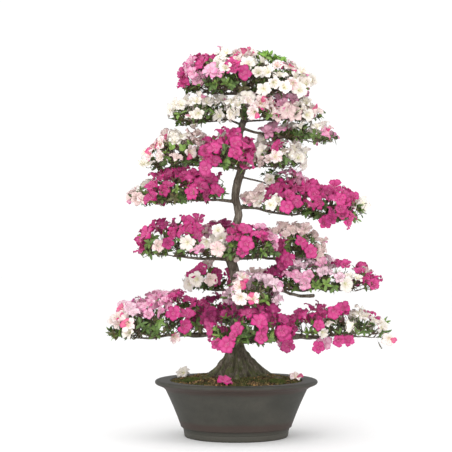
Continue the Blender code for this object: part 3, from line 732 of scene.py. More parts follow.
def in_a_cup(points, cups):
    """Whether each point lies in the mouth of an open blossom."""
    bases, axes = cups
    away = points[:, None] - bases[None]
    height = np.einsum("pbi,bi->pb", away, axes)
    radius = np.linalg.norm(away - height[..., None] * axes[None], axis=2)
    share = np.clip(radius / BLOSSOM_REACH, 0, 1)
    petal = BLOSSOM_DEPTH * (1 - (1 - share) ** 2.1) - 0.003
    return ((height > petal) & (height < 0.03) & (radius < BLOSSOM_REACH * 0.92)).any(1)


def add_whorls(growth, bases, directions, rng, cups, ages):
    """Adds rosettes of leaves round the tips of shoots, and none in the mouth of a blossom.

    An age near 0 is a browned leaf, the middle is dark to fresh green and 1 is a young shoot.
    """
    count = len(bases)
    if not count:
        return
    each_leaf = (count, WHORL_LEAVES)
    frames = bases_for(directions, rng.uniform(0, 6.3, count))
    number = np.arange(WHORL_LEAVES)
    turns = 2 * math.pi * number / WHORL_LEAVES + rng.uniform(-0.35, 0.35, each_leaf)
    lift = np.where(number % 2, 0.25, 0.75) + rng.uniform(-0.35, 0.35, each_leaf)
    outward = np.stack([np.cos(turns) * np.cos(lift), np.sin(turns) * np.cos(lift), np.sin(lift)], -1)
    face = np.stack([-np.cos(turns) * np.sin(lift), -np.sin(turns) * np.sin(lift), np.cos(lift)], -1)
    outward = np.einsum("cij,clj->cli", frames, outward).reshape(-1, 3)
    face = np.einsum("cij,clj->cli", frames, face).reshape(-1, 3)
    side = np.cross(outward, face)
    local = leaf_points(rng, count * WHORL_LEAVES, LEAF_LENGTH, LEAF_HALF_WIDTH)
    world = local[..., :1] * side[:, None] + local[..., 1:2] * outward[:, None]
    world = world + local[..., 2:] * face[:, None]
    world = world + np.repeat(bases, WHORL_LEAVES, 0)[:, None]
    across, along, plane = sheet_grid(LEAF_ROWS, LEAF_COLS)
    seeds = ages[:, None] + rng.normal(0, 0.07, each_leaf)
    place = np.zeros((count * WHORL_LEAVES, LEAF_ROWS * LEAF_COLS, 3))
    place[..., 0] = across
    place[..., 1] = along
    place[..., 2] = np.clip(seeds, 0, 1).reshape(-1, 1)
    tip, middle = world[:, -2], world[:, LEAF_COLS * 3 + 1]
    kept = ~(in_a_cup(tip, cups) | in_a_cup(middle, cups))
    growth.add(world[kept], grid_quads(LEAF_ROWS, LEAF_COLS), {"leaf_place": place[kept]}, 0, plane)


# ---------------------------------------------------------------- pads

# How the colours lie over each pad, seen from the front: share of its width from the left, share
# of its height from below, and the kind of blossom there. A leaf spray is a gap in the bloom, and a
# deep spray is magenta with painted shade.
SPRAYS = {
    "crown": (
        (0.05, 0.34, "magenta"), (0.14, 0.55, "pink"), (0.20, 0.68, "magenta"), (0.25, 0.46, "pink"),
        (0.16, 0.14, "leaf"), (0.26, 0.22, "leaf"), (0.38, 0.16, "leaf"), (0.33, 0.70, "white"),
        (0.34, 0.42, "blush"), (0.43, 0.38, "magenta"), (0.53, 0.34, "leaf"), (0.50, 0.92, "striped"),
        (0.64, 0.95, "young"), (0.76, 0.88, "young"), (0.54, 0.66, "white"), (0.66, 0.58, "white"),
        (0.80, 0.55, "striped"), (0.92, 0.46, "white"), (0.76, 0.30, "white"), (0.64, 0.34, "white"),
        (0.60, 0.08, "leaf"), (0.97, 0.12, "pink"),
    ),
    "tier2_left": (
        (0.04, 0.15, "blush"), (0.20, 0.50, "white"), (0.36, 0.30, "white"), (0.50, 0.75, "white"),
        (0.80, 0.60, "white"), (0.56, 0.22, "leaf"), (0.92, 0.25, "leaf"),
    ),
    "tier2_right": (
        (0.15, 0.80, "striped"), (0.10, 0.30, "leaf"), (0.35, 0.60, "pink"), (0.45, 0.30, "blush"),
        (0.70, 0.50, "white"), (0.90, 0.70, "striped"), (0.92, 0.20, "leaf"),
    ),
    "tier2_front": ((0.25, 0.50, "white"), (0.65, 0.50, "striped"), (0.45, 0.08, "leaf")),
    "tier3_right": (
        (0.12, 0.60, "pink"), (0.35, 0.70, "white"), (0.50, 0.20, "leaf"), (0.58, 0.90, "leaf"),
        (0.68, 0.50, "white"), (0.76, 0.30, "pink"), (0.85, 0.70, "striped"), (0.95, 0.30, "pink"),
    ),
    "tier4_left": (
        (0.03, 0.20, "white"), (0.15, 0.42, "striped"), (0.37, 0.63, "striped"), (0.50, 0.98, "white"),
        (0.74, 0.95, "blush"), (0.63, 0.70, "leaf"), (0.57, 0.42, "leaf"), (0.75, 0.42, "striped"),
        (0.55, 0.16, "blush"), (0.36, 0.12, "white"), (0.92, 0.30, "leaf"),
    ),
    "tier4_front": (
        (0.10, 0.40, "magenta"), (0.25, 0.80, "magenta"), (0.52, 0.90, "magenta"),
        (0.80, 0.75, "magenta"), (0.80, 0.30, "magenta"), (0.45, 0.28, "leaf"), (0.52, 0.42, "leaf"),
    ),
    "tier4_right": (
        (0.15, 0.60, "white"), (0.10, 0.30, "blush"), (0.38, 0.35, "striped"), (0.34, 0.92, "striped"),
        (0.46, 0.65, "magenta"), (0.66, 0.70, "white"), (0.60, 0.28, "leaf"), (0.90, 0.42, "white"),
    ),
    "tier4_back": ((0.2, 0.5, "blush"), (0.5, 0.7, "white"), (0.8, 0.5, "magenta"), (0.5, 0.2, "leaf")),
    "tier4_spur": (
        (0.08, 0.40, "leaf"), (0.22, 0.60, "leaf"), (0.14, 0.15, "white"), (0.60, 0.50, "pink"),
        (0.90, 0.60, "pink"), (0.70, 0.20, "leaf"),
    ),
    "tier5_left": (
        (0.05, 0.60, "white"), (0.12, 0.32, "leaf"), (0.05, 0.10, "blush"), (0.30, 0.85, "magenta"),
        (0.27, 0.15, "magenta"), (0.50, 0.40, "leaf"), (0.62, 0.80, "magenta"), (0.85, 0.60, "magenta"),
        (0.98, 0.40, "leaf"), (0.58, 0.10, "leaf"),
    ),
    "tier5_right": (
        (0.05, 0.60, "blush"), (0.15, 0.40, "white"), (0.27, 0.45, "white"), (0.30, 0.85, "magenta"),
        (0.45, 0.60, "magenta"), (0.38, 0.20, "magenta"), (0.55, 0.10, "leaf"), (0.60, 0.60, "magenta"),
        (0.75, 0.50, "magenta"), (0.86, 0.80, "magenta"), (0.70, 0.15, "deep"), (0.86, 0.20, "magenta"),
        (0.98, 0.40, "white"), (0.94, 0.12, "striped"),
    ),
    "tier6_left": (
        (0.12, 0.60, "magenta"), (0.05, 0.30, "magenta"), (0.33, 0.50, "deep"), (0.53, 0.85, "magenta"),
        (0.56, 0.42, "white"), (0.68, 0.50, "leaf"), (0.78, 0.80, "magenta"), (0.82, 0.50, "pink"),
        (0.84, 0.15, "white"), (0.97, 0.55, "white"), (0.60, 0.08, "leaf"), (0.28, 0.08, "blush"),
        (0.42, 0.18, "leaf"),
    ),
    "tier6_front": (
        (0.06, 0.60, "white"), (0.06, 0.20, "blush"), (0.35, 0.65, "magenta"), (0.50, 0.30, "magenta"),
        (0.75, 0.50, "magenta"), (0.95, 0.75, "pink"), (0.90, 0.20, "leaf"),
    ),
    "tier6_right": (
        (0.05, 0.90, "blush"), (0.20, 0.85, "blush"), (0.35, 0.35, "magenta"), (0.35, 0.10, "magenta"),
        (0.52, 0.60, "leaf"), (0.60, 0.90, "blush"), (0.65, 0.25, "magenta"), (0.82, 0.50, "leaf"),
        (0.92, 0.70, "blush"), (0.95, 0.20, "blush"),
    ),
    "tier6_back": ((0.2, 0.6, "blush"), (0.5, 0.7, "deep"), (0.8, 0.5, "blush"), (0.5, 0.2, "leaf")),
    "tier7_right": (
        (0.02, 0.60, "blush"), (0.10, 0.80, "deep"), (0.20, 0.80, "deep"), (0.20, 0.30, "leaf"),
        (0.30, 0.50, "pink"), (0.35, 0.85, "lilac"), (0.42, 0.15, "leaf"), (0.47, 0.50, "pink"),
        (0.60, 0.70, "lilac"), (0.62, 0.20, "leaf"), (0.73, 0.85, "magenta"), (0.75, 0.35, "white"),
        (0.83, 0.60, "magenta"), (0.92, 0.78, "striped"), (0.94, 0.30, "magenta"), (0.80, 0.08, "leaf"),
    ),
    "tier7_left": (
        (0.10, 0.40, "white"), (0.30, 0.75, "magenta"), (0.40, 0.40, "blush"), (0.55, 0.70, "leaf"),
        (0.65, 0.98, "striped"), (0.82, 0.50, "magenta"), (0.45, 0.10, "leaf"),
    ),
    "tier7_front": (
        (0.10, 0.30, "lilac"), (0.30, 0.62, "striped"), (0.52, 0.75, "lilac"), (0.85, 0.50, "lilac"),
        (0.60, 0.30, "leaf"), (0.45, 0.08, "striped"), (0.90, 0.08, "lilac"),
    ),
    "tier8_left": (
        (0.05, 0.60, "striped"), (0.12, 0.38, "striped"), (0.24, 0.60, "lilac"), (0.35, 0.90, "pink"),
        (0.43, 0.65, "pink"), (0.50, 0.85, "pink"), (0.60, 0.50, "magenta"), (0.68, 0.92, "magenta"),
        (0.82, 0.95, "magenta"), (0.79, 0.58, "leaf"), (0.72, 0.32, "magenta"), (0.87, 0.30, "deep"),
        (0.13, 0.08, "white"), (0.32, 0.10, "white"), (0.46, 0.10, "white"), (0.60, 0.06, "striped"),
        (0.50, 0.30, "leaf"), (0.33, 0.32, "leaf"), (0.64, 0.26, "leaf"), (0.22, 0.30, "leaf"),
    ),
    "tier8_front": (
        (0.10, 0.70, "magenta"), (0.30, 0.85, "deep"), (0.25, 0.12, "magenta"), (0.45, 0.60, "magenta"),
        (0.62, 0.50, "magenta"), (0.80, 0.75, "deep"), (0.88, 0.30, "magenta"), (0.42, 0.32, "leaf"),
        (0.70, 0.16, "leaf"), (0.72, 0.70, "leaf"), (0.15, 0.36, "leaf"), (0.55, 0.06, "leaf"),
    ),
    "tier8_right": (
        (0.03, 0.40, "magenta"), (0.20, 0.30, "magenta"), (0.29, 0.70, "magenta"), (0.39, 0.75, "magenta"),
        (0.34, 0.20, "leaf"), (0.47, 0.60, "white"), (0.57, 0.92, "magenta"), (0.55, 0.25, "leaf"),
        (0.66, 0.65, "white"), (0.73, 0.92, "white"), (0.79, 0.55, "leaf"), (0.88, 0.92, "magenta"),
        (0.86, 0.40, "white"), (0.95, 0.20, "leaf"),
    ),
    "tier8_back": ((0.2, 0.6, "deep"), (0.5, 0.8, "magenta"), (0.8, 0.5, "deep"), (0.5, 0.3, "leaf")),
}

# Tiers where the bloom is thinner and shows more of the shade inside
AIRY_TIERS = ("tier3", "tier6", "tier7", "tier8")

# The share of blossoms left out everywhere, and how thin the growth is where most are left out
FULL_BLOOM, AIRY_BLOOM = (0.07, -0.20), (0.13, -0.13)

# Blossoms that hang out of a pad: shares of its width, height and depth from the front, and kind
STRAYS = {
    "crown": (
        (0.70, 0.20, 0.06, "white"), (0.78, 0.06, 0.10, "white"), (0.85, 0.20, 0.15, "striped"),
        (0.89, 0.02, 0.20, "white"), (0.95, 0.16, 0.28, "white"), (0.99, 0.30, 0.40, "white"),
        (0.63, 0.04, 0.04, "white"),
    ),
    "tier5_right": (
        (0.66, -0.10, 0.25, "magenta"), (0.72, 0.02, 0.15, "deep"), (0.83, -0.02, 0.2, "magenta"),
    ),
    "tier6_right": ((0.34, -0.16, 0.15, "magenta"), (0.40, 0.0, 0.1, "magenta")),
    "tier6_left": ((1.04, 0.50, 0.1, "white"), (1.08, 0.30, 0.2, "blush"), (1.0, 0.72, 0.2, "white")),
    "tier8_right": (
        (0.02, 0.10, 0.2, "magenta"), (0.11, -0.30, 0.3, "magenta"), (0.06, -0.12, 0.3, "pink"),
        (0.38, -0.42, 0.3, "magenta"), (0.43, -0.24, 0.4, "pink"), (0.55, -0.12, 0.2, "magenta"),
        (0.64, -0.14, 0.3, "magenta"), (1.0, -0.06, 0.4, "striped"),
    ),
    "tier8_front": ((0.08, -0.02, 0.1, "magenta"), (0.22, -0.06, 0.05, "magenta")),
    "tier4_front": ((0.10, -0.12, 0.2, "magenta"),),
}


def spray_kinds(name, points, low, high, rng):
    """The kind of each blossom: that of the nearest spray, seen from the front."""
    sprays = SPRAYS[name]
    size = high - low
    places = np.array([spray[:2] for spray in sprays]) * [size[0], size[2]]
    seen = (points - low)[:, [0, 2]] + rng.normal(0, 0.004, (len(points), 2))
    weight = np.array([LEAF_SPRAY_WEIGHT if spray[2] == "leaf" else 1.0 for spray in sprays])
    nearest = np.argmin(np.sum((seen[:, None] - places[None]) ** 2, 2) * weight, 1)
    return [sprays[i][2] for i in nearest]


def outer_skin(name):
    """The pad's triangles that bloom: the top and sides of its cap and the sides of its bed."""
    cap, bed = triangles(name + "_blossoms"), triangles(name + "_leaves")
    cap_up, bed_up = facing(cap)[0][:, 2], facing(bed)[0][:, 2]
    below_top = bed.mean(1)[:, 2] < bed[..., 2].max() - 0.004
    return np.concatenate([cap[cap_up > -0.45], bed[(bed_up > -0.93) & (bed_up < 0.6) & below_top]])


def clumps(points):
    """How thickly leaves grow at each point, from -0.5 to 0.5: bunches with air between them."""
    return np.array([noise.noise(Vector(point * CLUMP_SCALE)) for point in points])


def is_leafy(kinds):
    return np.array([kind in ("leaf", "young") for kind in kinds])


def place_bloom(name, skin, low, high, rng):
    """Where a pad's blossoms sit, the ways that they open and their kinds.

    There are none in the leaf sprays and few near the pad's underside or between its bunches.
    """
    places, normals = scatter(skin, BLOSSOM_SPACING, rng)
    kinds = spray_kinds(name, places, low, high, rng)
    bunched = clumps(places + 3.0)
    rise = (places[:, 2] - low[2]) / (high[2] - low[2])
    gaps, gap_edge = AIRY_BLOOM if name[:5] in AIRY_TIERS else FULL_BLOOM
    sparse = gaps + 0.55 * np.clip(1 - rise / 0.34, 0, 1) + np.where(bunched < gap_edge, 0.60, 0)
    thin = rng.random(len(places)) < sparse
    blooming = ~is_leafy(kinds) & ~thin
    axes = normals + [0, -0.15, 0.20] + rng.normal(0, 0.58, normals.shape)
    axes[:, 2] = np.maximum(axes[:, 2], -0.25)
    axes /= np.linalg.norm(axes, axis=1, keepdims=True)
    lift = rng.uniform(-0.006, 0.004, (len(places), 1)) + 0.024 * bunched[:, None]
    bases = places + normals * lift - axes * (BLOSSOM_DEPTH * 0.8)
    bases, axes = bases[blooming], axes[blooming]
    kinds = [kind for kind, blooms in zip(kinds, blooming) if blooms]

    strays = STRAYS.get(name, ())
    if strays:
        where = np.array([stray[:3] for stray in strays])[:, [0, 2, 1]]
        hang = rng.normal(0, 0.25, (len(strays), 3)) + [0, -0.9, -0.1]
        hang /= np.linalg.norm(hang, axis=1, keepdims=True)
        bases = np.concatenate([bases, low + where * (high - low)])
        axes = np.concatenate([axes, hang])
        kinds += [stray[3] for stray in strays]
    return bases, axes, kinds


def grow_leaves(name, skin, cups, low, high, finishes, rng):
    """A pad's leaves, in its leaf sprays, under its bloom, below it and inside it.

    Returns the places that a twig has to reach.
    """
    leaves = Growth()
    tufts, tuft_up = scatter(skin, LEAF_SPACING, rng, 6)
    kinds = spray_kinds(name, tufts, low, high, rng)
    in_gap = is_leafy(kinds)
    young = np.array([kind == "young" for kind in kinds])
    low_down = tufts[:, 2] < low[2] + 0.35 * (high[2] - low[2])
    keep = in_gap | (rng.random(len(tufts)) < np.where(low_down, 0.30, 0.10))
    shallow, deep = rng.uniform(-0.002, 0.008, len(tufts)), rng.uniform(0.006, 0.016, len(tufts))
    depth = np.where(in_gap, shallow, deep)
    tufts = (tufts - tuft_up * depth[:, None])[keep]
    tuft_axes = (tuft_up + [0, 0, 0.35] + rng.normal(0, 0.3, tuft_up.shape))[keep]
    ages = np.where(young[keep], 0.99, rng.uniform(0.25, 0.9, len(tufts)))
    add_whorls(leaves, tufts, tuft_axes, rng, cups, ages)

    bed = triangles(name + "_leaves")
    under = bed[facing(bed)[0][:, 2] < -0.9]
    hanging, hang_up = scatter(under, HANGING_SPACING, rng, 6)
    dense = clumps(hanging) > 0.04
    hanging, hang_up = hanging[dense] + [0, 0, 0.005], hang_up[dense]
    hang_axes = hang_up * 0.3 + rng.normal(0, 0.6, hang_up.shape)
    add_whorls(leaves, hanging, hang_axes, rng, cups, rng.uniform(0, 0.7, len(hanging)))

    litres = 500 * np.prod(high - low)
    inner = inside(name + "_leaves", int(litres * INNER_WHORLS_PER_LITRE), rng)
    inner = inner[clumps(inner) > 0.0]
    under_cap = inside(name + "_blossoms", int(litres * INNER_WHORLS_PER_LITRE * 0.7), rng)
    core = np.concatenate([inner, under_cap - [0, 0, 0.012]])
    core_axes = rng.normal(0, 1, core.shape) + [0, 0, 0.6]
    add_whorls(leaves, core, core_axes, rng, cups, rng.uniform(0, 0.6, len(core)))
    leaves.piece(name + "_foliage", [finishes["leaf"]], [name + "_leaves"])
    return np.concatenate([tufts, hanging, inner])


def grow_pad(name, finishes, rng):
    """One pad: its blossoms and its leaves. Returns what its twigs have to reach, and its box."""
    nodes = (name + "_leaves", name + "_blossoms")
    low = np.minimum(*(np.array(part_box(node)[0]) for node in nodes))
    high = np.maximum(*(np.array(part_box(node)[1]) for node in nodes))
    skin = outer_skin(name)
    bases, axes, kinds = place_bloom(name, skin, low, high, rng)
    bloom = Growth()
    feet = add_blossoms(bloom, bases, axes, kinds, rng)
    looks = [finishes["petal"], finishes["stamen"], finishes["leaf"]]
    bloom.piece(name + "_open_blossoms", looks, [name + "_blossoms"])
    tips = grow_leaves(name, skin, (bases, axes), low, high, finishes, rng)
    return np.concatenate([feet, tips]), low, high


def grow_twigs(carried, wood, finishes, rng):
    """Shoots from the limbs to the middle of each group of tips, and a twig on to each tip."""
    twigs = Growth()
    for points, low, high in carried:
        cell = np.floor((points - low) / [SHOOT_SPACING, SHOOT_SPACING, 10.0]).astype(int)
        keys, group = np.unique(cell, axis=0, return_inverse=True)
        group = group.reshape(-1)
        hubs = np.array([points[group == i].mean(0) for i in range(len(keys))])
        hubs += 0.18 * ((low + high) / 2 - hubs)
        near = (wood[:, 2] > low[2] - 0.035) & (wood[:, 2] < high[2])
        roots = wood[near]
        nearest = np.array([roots[np.argmin(np.sum((roots - hub) ** 2, 1))] for hub in hubs])
        hubs[:, 2] = nearest[:, 2] + rng.uniform(0.15, 0.40, len(hubs)) * (hubs[:, 2] - nearest[:, 2])
        midway = (nearest + hubs) / 2 + rng.normal(0, 0.003, hubs.shape)
        shoots = tubes(nearest, midway, hubs, np.full(len(hubs), SHOOT_RADIUS), 5, 5)
        twigs.add(shoots, tube_quads(5, 5), {}, 0, tube_plane(5, 5))
        starts = hubs[group]
        bends = (starts + points) / 2 + rng.normal(0, 0.004, points.shape) - [0, 0, 0.002]
        thin = tubes(starts, bends, points, np.full(len(points), TWIG_RADIUS), 4, 4)
        twigs.add(thin, tube_quads(4, 4), {}, 0, tube_plane(4, 4))
    twigs.piece("fine_twigs", [finishes["twig"]])


# ---------------------------------------------------------------- wood

def toe_paths(rng):
    """Surface roots that run from the flare out into the soil: (point, radius) lists."""
    tree = soil_top_mesh()
    paths = []
    for k in range(TOES):
        bearing = 2 * math.pi * (k + rng.uniform(-0.25, 0.25)) / TOES
        reach, stout = rng.uniform(0.085, 0.135), rng.uniform(0.0065, 0.0105)
        bend, start = rng.uniform(-0.5, 0.5), rng.uniform(0.022, 0.030)
        path = []
        for step in range(TOE_STEPS + 1):
            t = step / TOE_STEPS
            turn = bearing + bend * t**2 + 0.07 * math.sin(9 * t + k)
            radius = start + (reach - start) * t
            x, y = round_pot(radius, turn)
            ground = soil_height(tree, x, y) if radius > FLARE_FOOT else SOIL_TOP
            lift = (0.050 - 0.006 * (k % 3)) * (1 - t) ** 2.4
            thick = stout * (1 - 0.72 * t)
            path.append(((x, y, ground + lift - thick * (0.25 + 0.5 * t)), thick))
        paths.append(path)
    return paths


def round_stems(name, paths):
    """A mesh of closed round stems along paths of (point, radius)."""
    curve = bpy.data.curves.new(name, "CURVE")
    curve.dimensions = "3D"
    curve.bevel_depth = 1.0
    curve.bevel_resolution = 3
    curve.use_fill_caps = True
    for path in paths:
        spline = curve.splines.new("POLY")
        spline.points.add(len(path) - 1)
        for point, (place, radius) in zip(spline.points, path):
            point.co = (*place, 1.0)
            point.radius = radius
    made = bpy.data.objects.new(name, curve)
    bpy.context.scene.collection.objects.link(made)
    mesh = bpy.data.meshes.new_from_object(made)
    bpy.data.objects.remove(made)
    return mesh


def drift(place):
    """A smooth vector noise, read at a place of its own for each axis."""
    return Vector(noise.noise(place + Vector((apart, -apart, apart))) for apart in (0.0, 31.7, 67.3))


def sway(place):
    """How far a grown limb wanders from its straight run. The trunk and the roots keep still."""
    away = math.hypot(place.x - POT_AXIS.x, place.y - POT_AXIS.y)
    out = min(max((away - LIMB_CLEAR_OF_TRUNK) / 0.05, 0), 1)
    clear = out * min(max((place.z - SOIL_TOP - 0.05) / 0.035, 0), 1)
    wide, fine = drift(place * 15), drift(place * 42)
    return wide * 0.0085 * clear + fine * 0.0028 * clear


def fold_ridge(place):
    """The flare's ridges and folds, which deepen towards the roots."""
    if place.z >= FLARE_TOP:
        return 0.0
    turn = math.atan2(place.y - POT_AXIS.y, place.x - POT_AXIS.x)
    fall = (FLARE_TOP - place.z) / (FLARE_TOP - SOIL_TOP)
    folds = noise.noise(Vector((math.cos(turn) * 6.5, math.sin(turn) * 6.5, place.z * 9)))
    return 0.018 * fall * (folds - 0.15)


def even_wood():
    """The CAD wood with root toes, all in one even skin with its facets melted."""
    both = bmesh.new()
    both.from_mesh(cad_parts["tree_wood"].data)
    both.from_mesh(round_stems("toes", toe_paths(np.random.default_rng(5))))
    joined = bpy.data.meshes.new("rough_wood")
    both.to_mesh(joined)
    both.free()
    rough = bpy.data.objects.new("rough_wood", joined)
    bpy.context.scene.collection.objects.link(rough)
    remesh = rough.modifiers.new("even", "REMESH")
    remesh.mode = "VOXEL"
    remesh.voxel_size = BARK_VOXEL
    smooth = rough.modifiers.new("melt", "SMOOTH")
    smooth.factor = 0.5
    smooth.iterations = 3
    graph = bpy.context.evaluated_depsgraph_get()
    mesh = bpy.data.meshes.new_from_object(rough.evaluated_get(graph), depsgraph=graph)
    bpy.data.objects.remove(rough)
    return mesh


def make_wood(finishes):
    """The wood with burrs, ridges and bark. Returns its points, for the twigs to start from."""
    mesh = even_wood()
    count = len(mesh.vertices)
    points, normals = np.empty(count * 3, np.float32), np.empty(count * 3, np.float32)
    mesh.vertices.foreach_get("co", points)
    mesh.vertices.foreach_get("normal", normals)
    points, normals = points.reshape(-1, 3), normals.reshape(-1, 3)
    shell = BVHTree.FromPolygons(points.tolist(), [tuple(p.vertices) for p in mesh.polygons])
    moved = np.empty(count)
    wander = np.empty((count, 3))
    for i in range(count):
        place, normal = Vector(points[i]), Vector(normals[i])
        _, _, _, reach = shell.ray_cast(place - normal * 0.0005, -normal, STOUTEST)
        stout = min(reach or STOUTEST, STOUTEST)
        upright = Vector((place.x * 120, place.y * 120, place.z * 38))
        grain = noise.fractal(upright, 0.9, 2.1, 4)
        lumps = Vector((place.x * 46, place.y * 46, place.z * 30))
        burr = noise.noise(lumps + Vector((7, 3, 1)))
        moved[i] = 0.032 * stout * grain + 0.050 * stout * burr + fold_ridge(place)
        wander[i] = sway(place)
    points = points + normals * np.clip(moved, -DEEPEST_FOLD, TALLEST_RIDGE)[:, None] + wander
    mesh.vertices.foreach_set("co", points.astype(np.float32).ravel())
    mesh.update()
    mesh.shade_smooth()
    mesh.materials.clear()
    mesh.materials.append(finishes["bark"])
    mesh.name = "grown_wood"
    put(bpy.data.objects.new("grown_wood", mesh), ["tree_wood"])
    return points


# ---------------------------------------------------------------- pot

def turned(name, outline, segments):
    """A closed skin turned round the pot's axis from (radius, height) pairs."""
    work = bmesh.new()
    rings = []
    for radius, height in outline:
        if radius == 0:
            rings.append([work.verts.new((POT_AXIS.x, POT_AXIS.y, height))])
            continue
        turns = (2 * math.pi * i / segments for i in range(segments))
        rings.append([work.verts.new((*round_pot(radius, turn), height)) for turn in turns])
    for low, high in zip(rings, rings[1:]):
        for i in range(segments):
            j = (i + 1) % segments
            corners = (low[i % len(low)], low[j % len(low)], high[j % len(high)], high[i % len(high)])
            work.faces.new(dict.fromkeys(corners))
    bmesh.ops.recalc_face_normals(work, faces=work.faces)
    mesh = bpy.data.meshes.new(name)
    work.to_mesh(mesh)
    work.free()
    return mesh


def pot_outline():
    """The pot's (radius, height) pairs, from the middle of its floor over the lip to its foot."""
    top = POT_HIGH.z
    neck = top - 0.025
    hollow = [(0, POT_FLOOR), (0.1360, POT_FLOOR), (0.1825, 0.1530), (0.1835, 0.1555), (0.1862, 0.1562)]
    # The rolled lip, as how far in from the rim and how far below the top
    rolled = (
        (0.0110, 0.0), (0.0052, 0.0002), (0.0022, 0.0016), (0.0005, 0.0038), (0.0, 0.0062),
        (0.0006, 0.0086), (0.0024, 0.0108), (0.0060, 0.0128), (0.0110, 0.0147), (0.0170, 0.0172),
        (0.0225, 0.0203), (0.0262, 0.0235),
    )
    lip = [(RIM - inward, top - down) for inward, down in rolled]
    wall = []
    for step in range(WALL_STEPS + 1):
        share = step / WALL_STEPS
        bow = 0.0016 * math.sin(math.pi * share)
        wall.append((0.1965 - share * 0.0425 - bow, neck - share * (neck - 0.0325)))
    bead = [
        (0.1538, 0.0310), (0.1534, 0.0292), (0.1522, 0.0277), (0.1502, 0.0268), (0.1480, 0.0262),
        (0.1470, 0.0232), (0.1462, 0.0200), (0.1457, 0.0176), (0.1446, 0.0168), (0.1444, 0.0160),
    ]
    foot = [
        (0.1448, 0.0152), (0.1446, 0.0100), (0.1438, 0.0050), (0.1428, 0.0022), (0.1408, 0.0006),
        (0.1385, 0.0), (0.1190, 0.0), (0.1168, 0.0010), (0.1145, 0.0075), (0.1130, FOOT_HOLLOW),
        (0, FOOT_HOLLOW),
    ]
    return hollow + lip + wall + bead + foot


def make_pot(finishes):
    """The pot turned finely: a soft rolled lip, a line under the bead and a rounded foot."""
    made = bpy.data.objects.new("turned_pot", turned("turned_pot", pot_outline(), POT_SEGMENTS))
    bpy.context.scene.collection.objects.link(made)
    cutters = pot_cutters()
    for cutter in cutters:
        cut = made.modifiers.new("cut", "BOOLEAN")
        cut.operation = "DIFFERENCE"
        cut.object = cutter
    graph = bpy.context.evaluated_depsgraph_get()
    mesh = bpy.data.meshes.new_from_object(made.evaluated_get(graph), depsgraph=graph)
    made.modifiers.clear()
    made.data = mesh
    for cutter in cutters:
        bpy.data.objects.remove(cutter)
    mesh.shade_smooth()
    mesh.set_sharp_from_angle(angle=math.radians(38))
    mesh.materials.clear()
    mesh.materials.append(finishes["stoneware"])
    put(made, ["pot"])


def pot_cutters():
    """Round cutters for the drain holes, and blocks for the vents in the foot."""
    cutters = []
    for number in (1, 2, 3):
        low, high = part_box(f"drain_screen_{number}")
        middle = (low + high) / 2
        work = bmesh.new()
        radii = {"radius1": DRAIN_RADIUS, "radius2": DRAIN_RADIUS}
        bmesh.ops.create_cone(work, cap_ends=True, segments=40, depth=0.06, **radii)
        cutters.append(cutter_from(work, Matrix.Translation((middle.x, middle.y, 0.0))))
    for turn in (0, 90, 180):
        work = bmesh.new()
        bmesh.ops.create_cube(work, size=1)
        bmesh.ops.scale(work, verts=work.verts, vec=VENT_SIZE)
        outward = Matrix.Rotation(math.radians(turn), 4, "Z") @ Matrix.Translation((VENT_FROM_AXIS, 0, 0))
        cutters.append(cutter_from(work, Matrix.Translation((POT_AXIS.x, POT_AXIS.y, 0)) @ outward))
    return cutters


def cutter_from(work, place):
    mesh = bpy.data.meshes.new("cutter")
    bmesh.ops.transform(work, matrix=place, verts=work.verts)
    work.to_mesh(mesh)
    work.free()
    made = bpy.data.objects.new("cutter", mesh)
    bpy.context.scene.collection.objects.link(made)
    return made


# ---------------------------------------------------------------- soil

def soil_top_mesh():
    """The soil's faces, for finding its height from straight above."""
    corners = triangles("soil").reshape(-1, 3)
    return BVHTree.FromPolygons(corners.tolist(), np.arange(len(corners)).reshape(-1, 3).tolist())


def soil_height(tree, x, y):
    """The soil's height there, or just inside its edge where the place lies on the edge itself."""
    away = Vector((x - POT_AXIS.x, y - POT_AXIS.y))
    inner = away * min(1.0, (SOIL_REACH - 0.004) / away.length)
    hit = tree.ray_cast(Vector((POT_AXIS.x + inner.x, POT_AXIS.y + inner.y, 1.0)), Vector((0, 0, -1)))
    return hit[0].z


def make_earth(tree, finishes):
    """The bed of earth, crumbled on top, with a skirt that narrows to the gravel."""
    work = bmesh.new()
    grid = []
    for i in range(EARTH_RINGS + 1):
        radius = SOIL_REACH * (0.28 + 0.72 * i / EARTH_RINGS) - 0.0003
        ring = []
        for j in range(EARTH_SEGMENTS):
            x, y = round_pot(radius, 2 * math.pi * j / EARTH_SEGMENTS)
            z = soil_height(tree, x, y)
            if z < SOIL_TOP - SOCKET_DEPTH:
                z = SOIL_TOP
            crumb = noise.fractal(Vector((x * 95, y * 95, 3.3)), 0.8, 2.0, 4)
            ring.append(work.verts.new((x, y, z + 0.0016 * crumb)))
        grid.append(ring)
    shrink = (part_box("gravel")[1].x - POT_AXIS.x) / SOIL_REACH
    skirt = []
    for vert in grid[-1]:
        flat = (vert.co - POT_AXIS) * shrink
        skirt.append(work.verts.new((POT_AXIS.x + flat.x, POT_AXIS.y + flat.y, SOIL_LOW.z)))
    grid.append(skirt)
    for inner, outer in zip(grid, grid[1:]):
        for j in range(EARTH_SEGMENTS):
            k = (j + 1) % EARTH_SEGMENTS
            work.faces.new((inner[j], outer[j], outer[k], inner[k]))
    work.faces.new(grid[0])
    work.faces.new(skirt[::-1])
    mesh = bpy.data.meshes.new("earth")
    work.to_mesh(mesh)
    work.free()
    mesh.shade_smooth()
    mesh.materials.append(finishes["earth"])
    put(bpy.data.objects.new("earth", mesh), ["soil"])


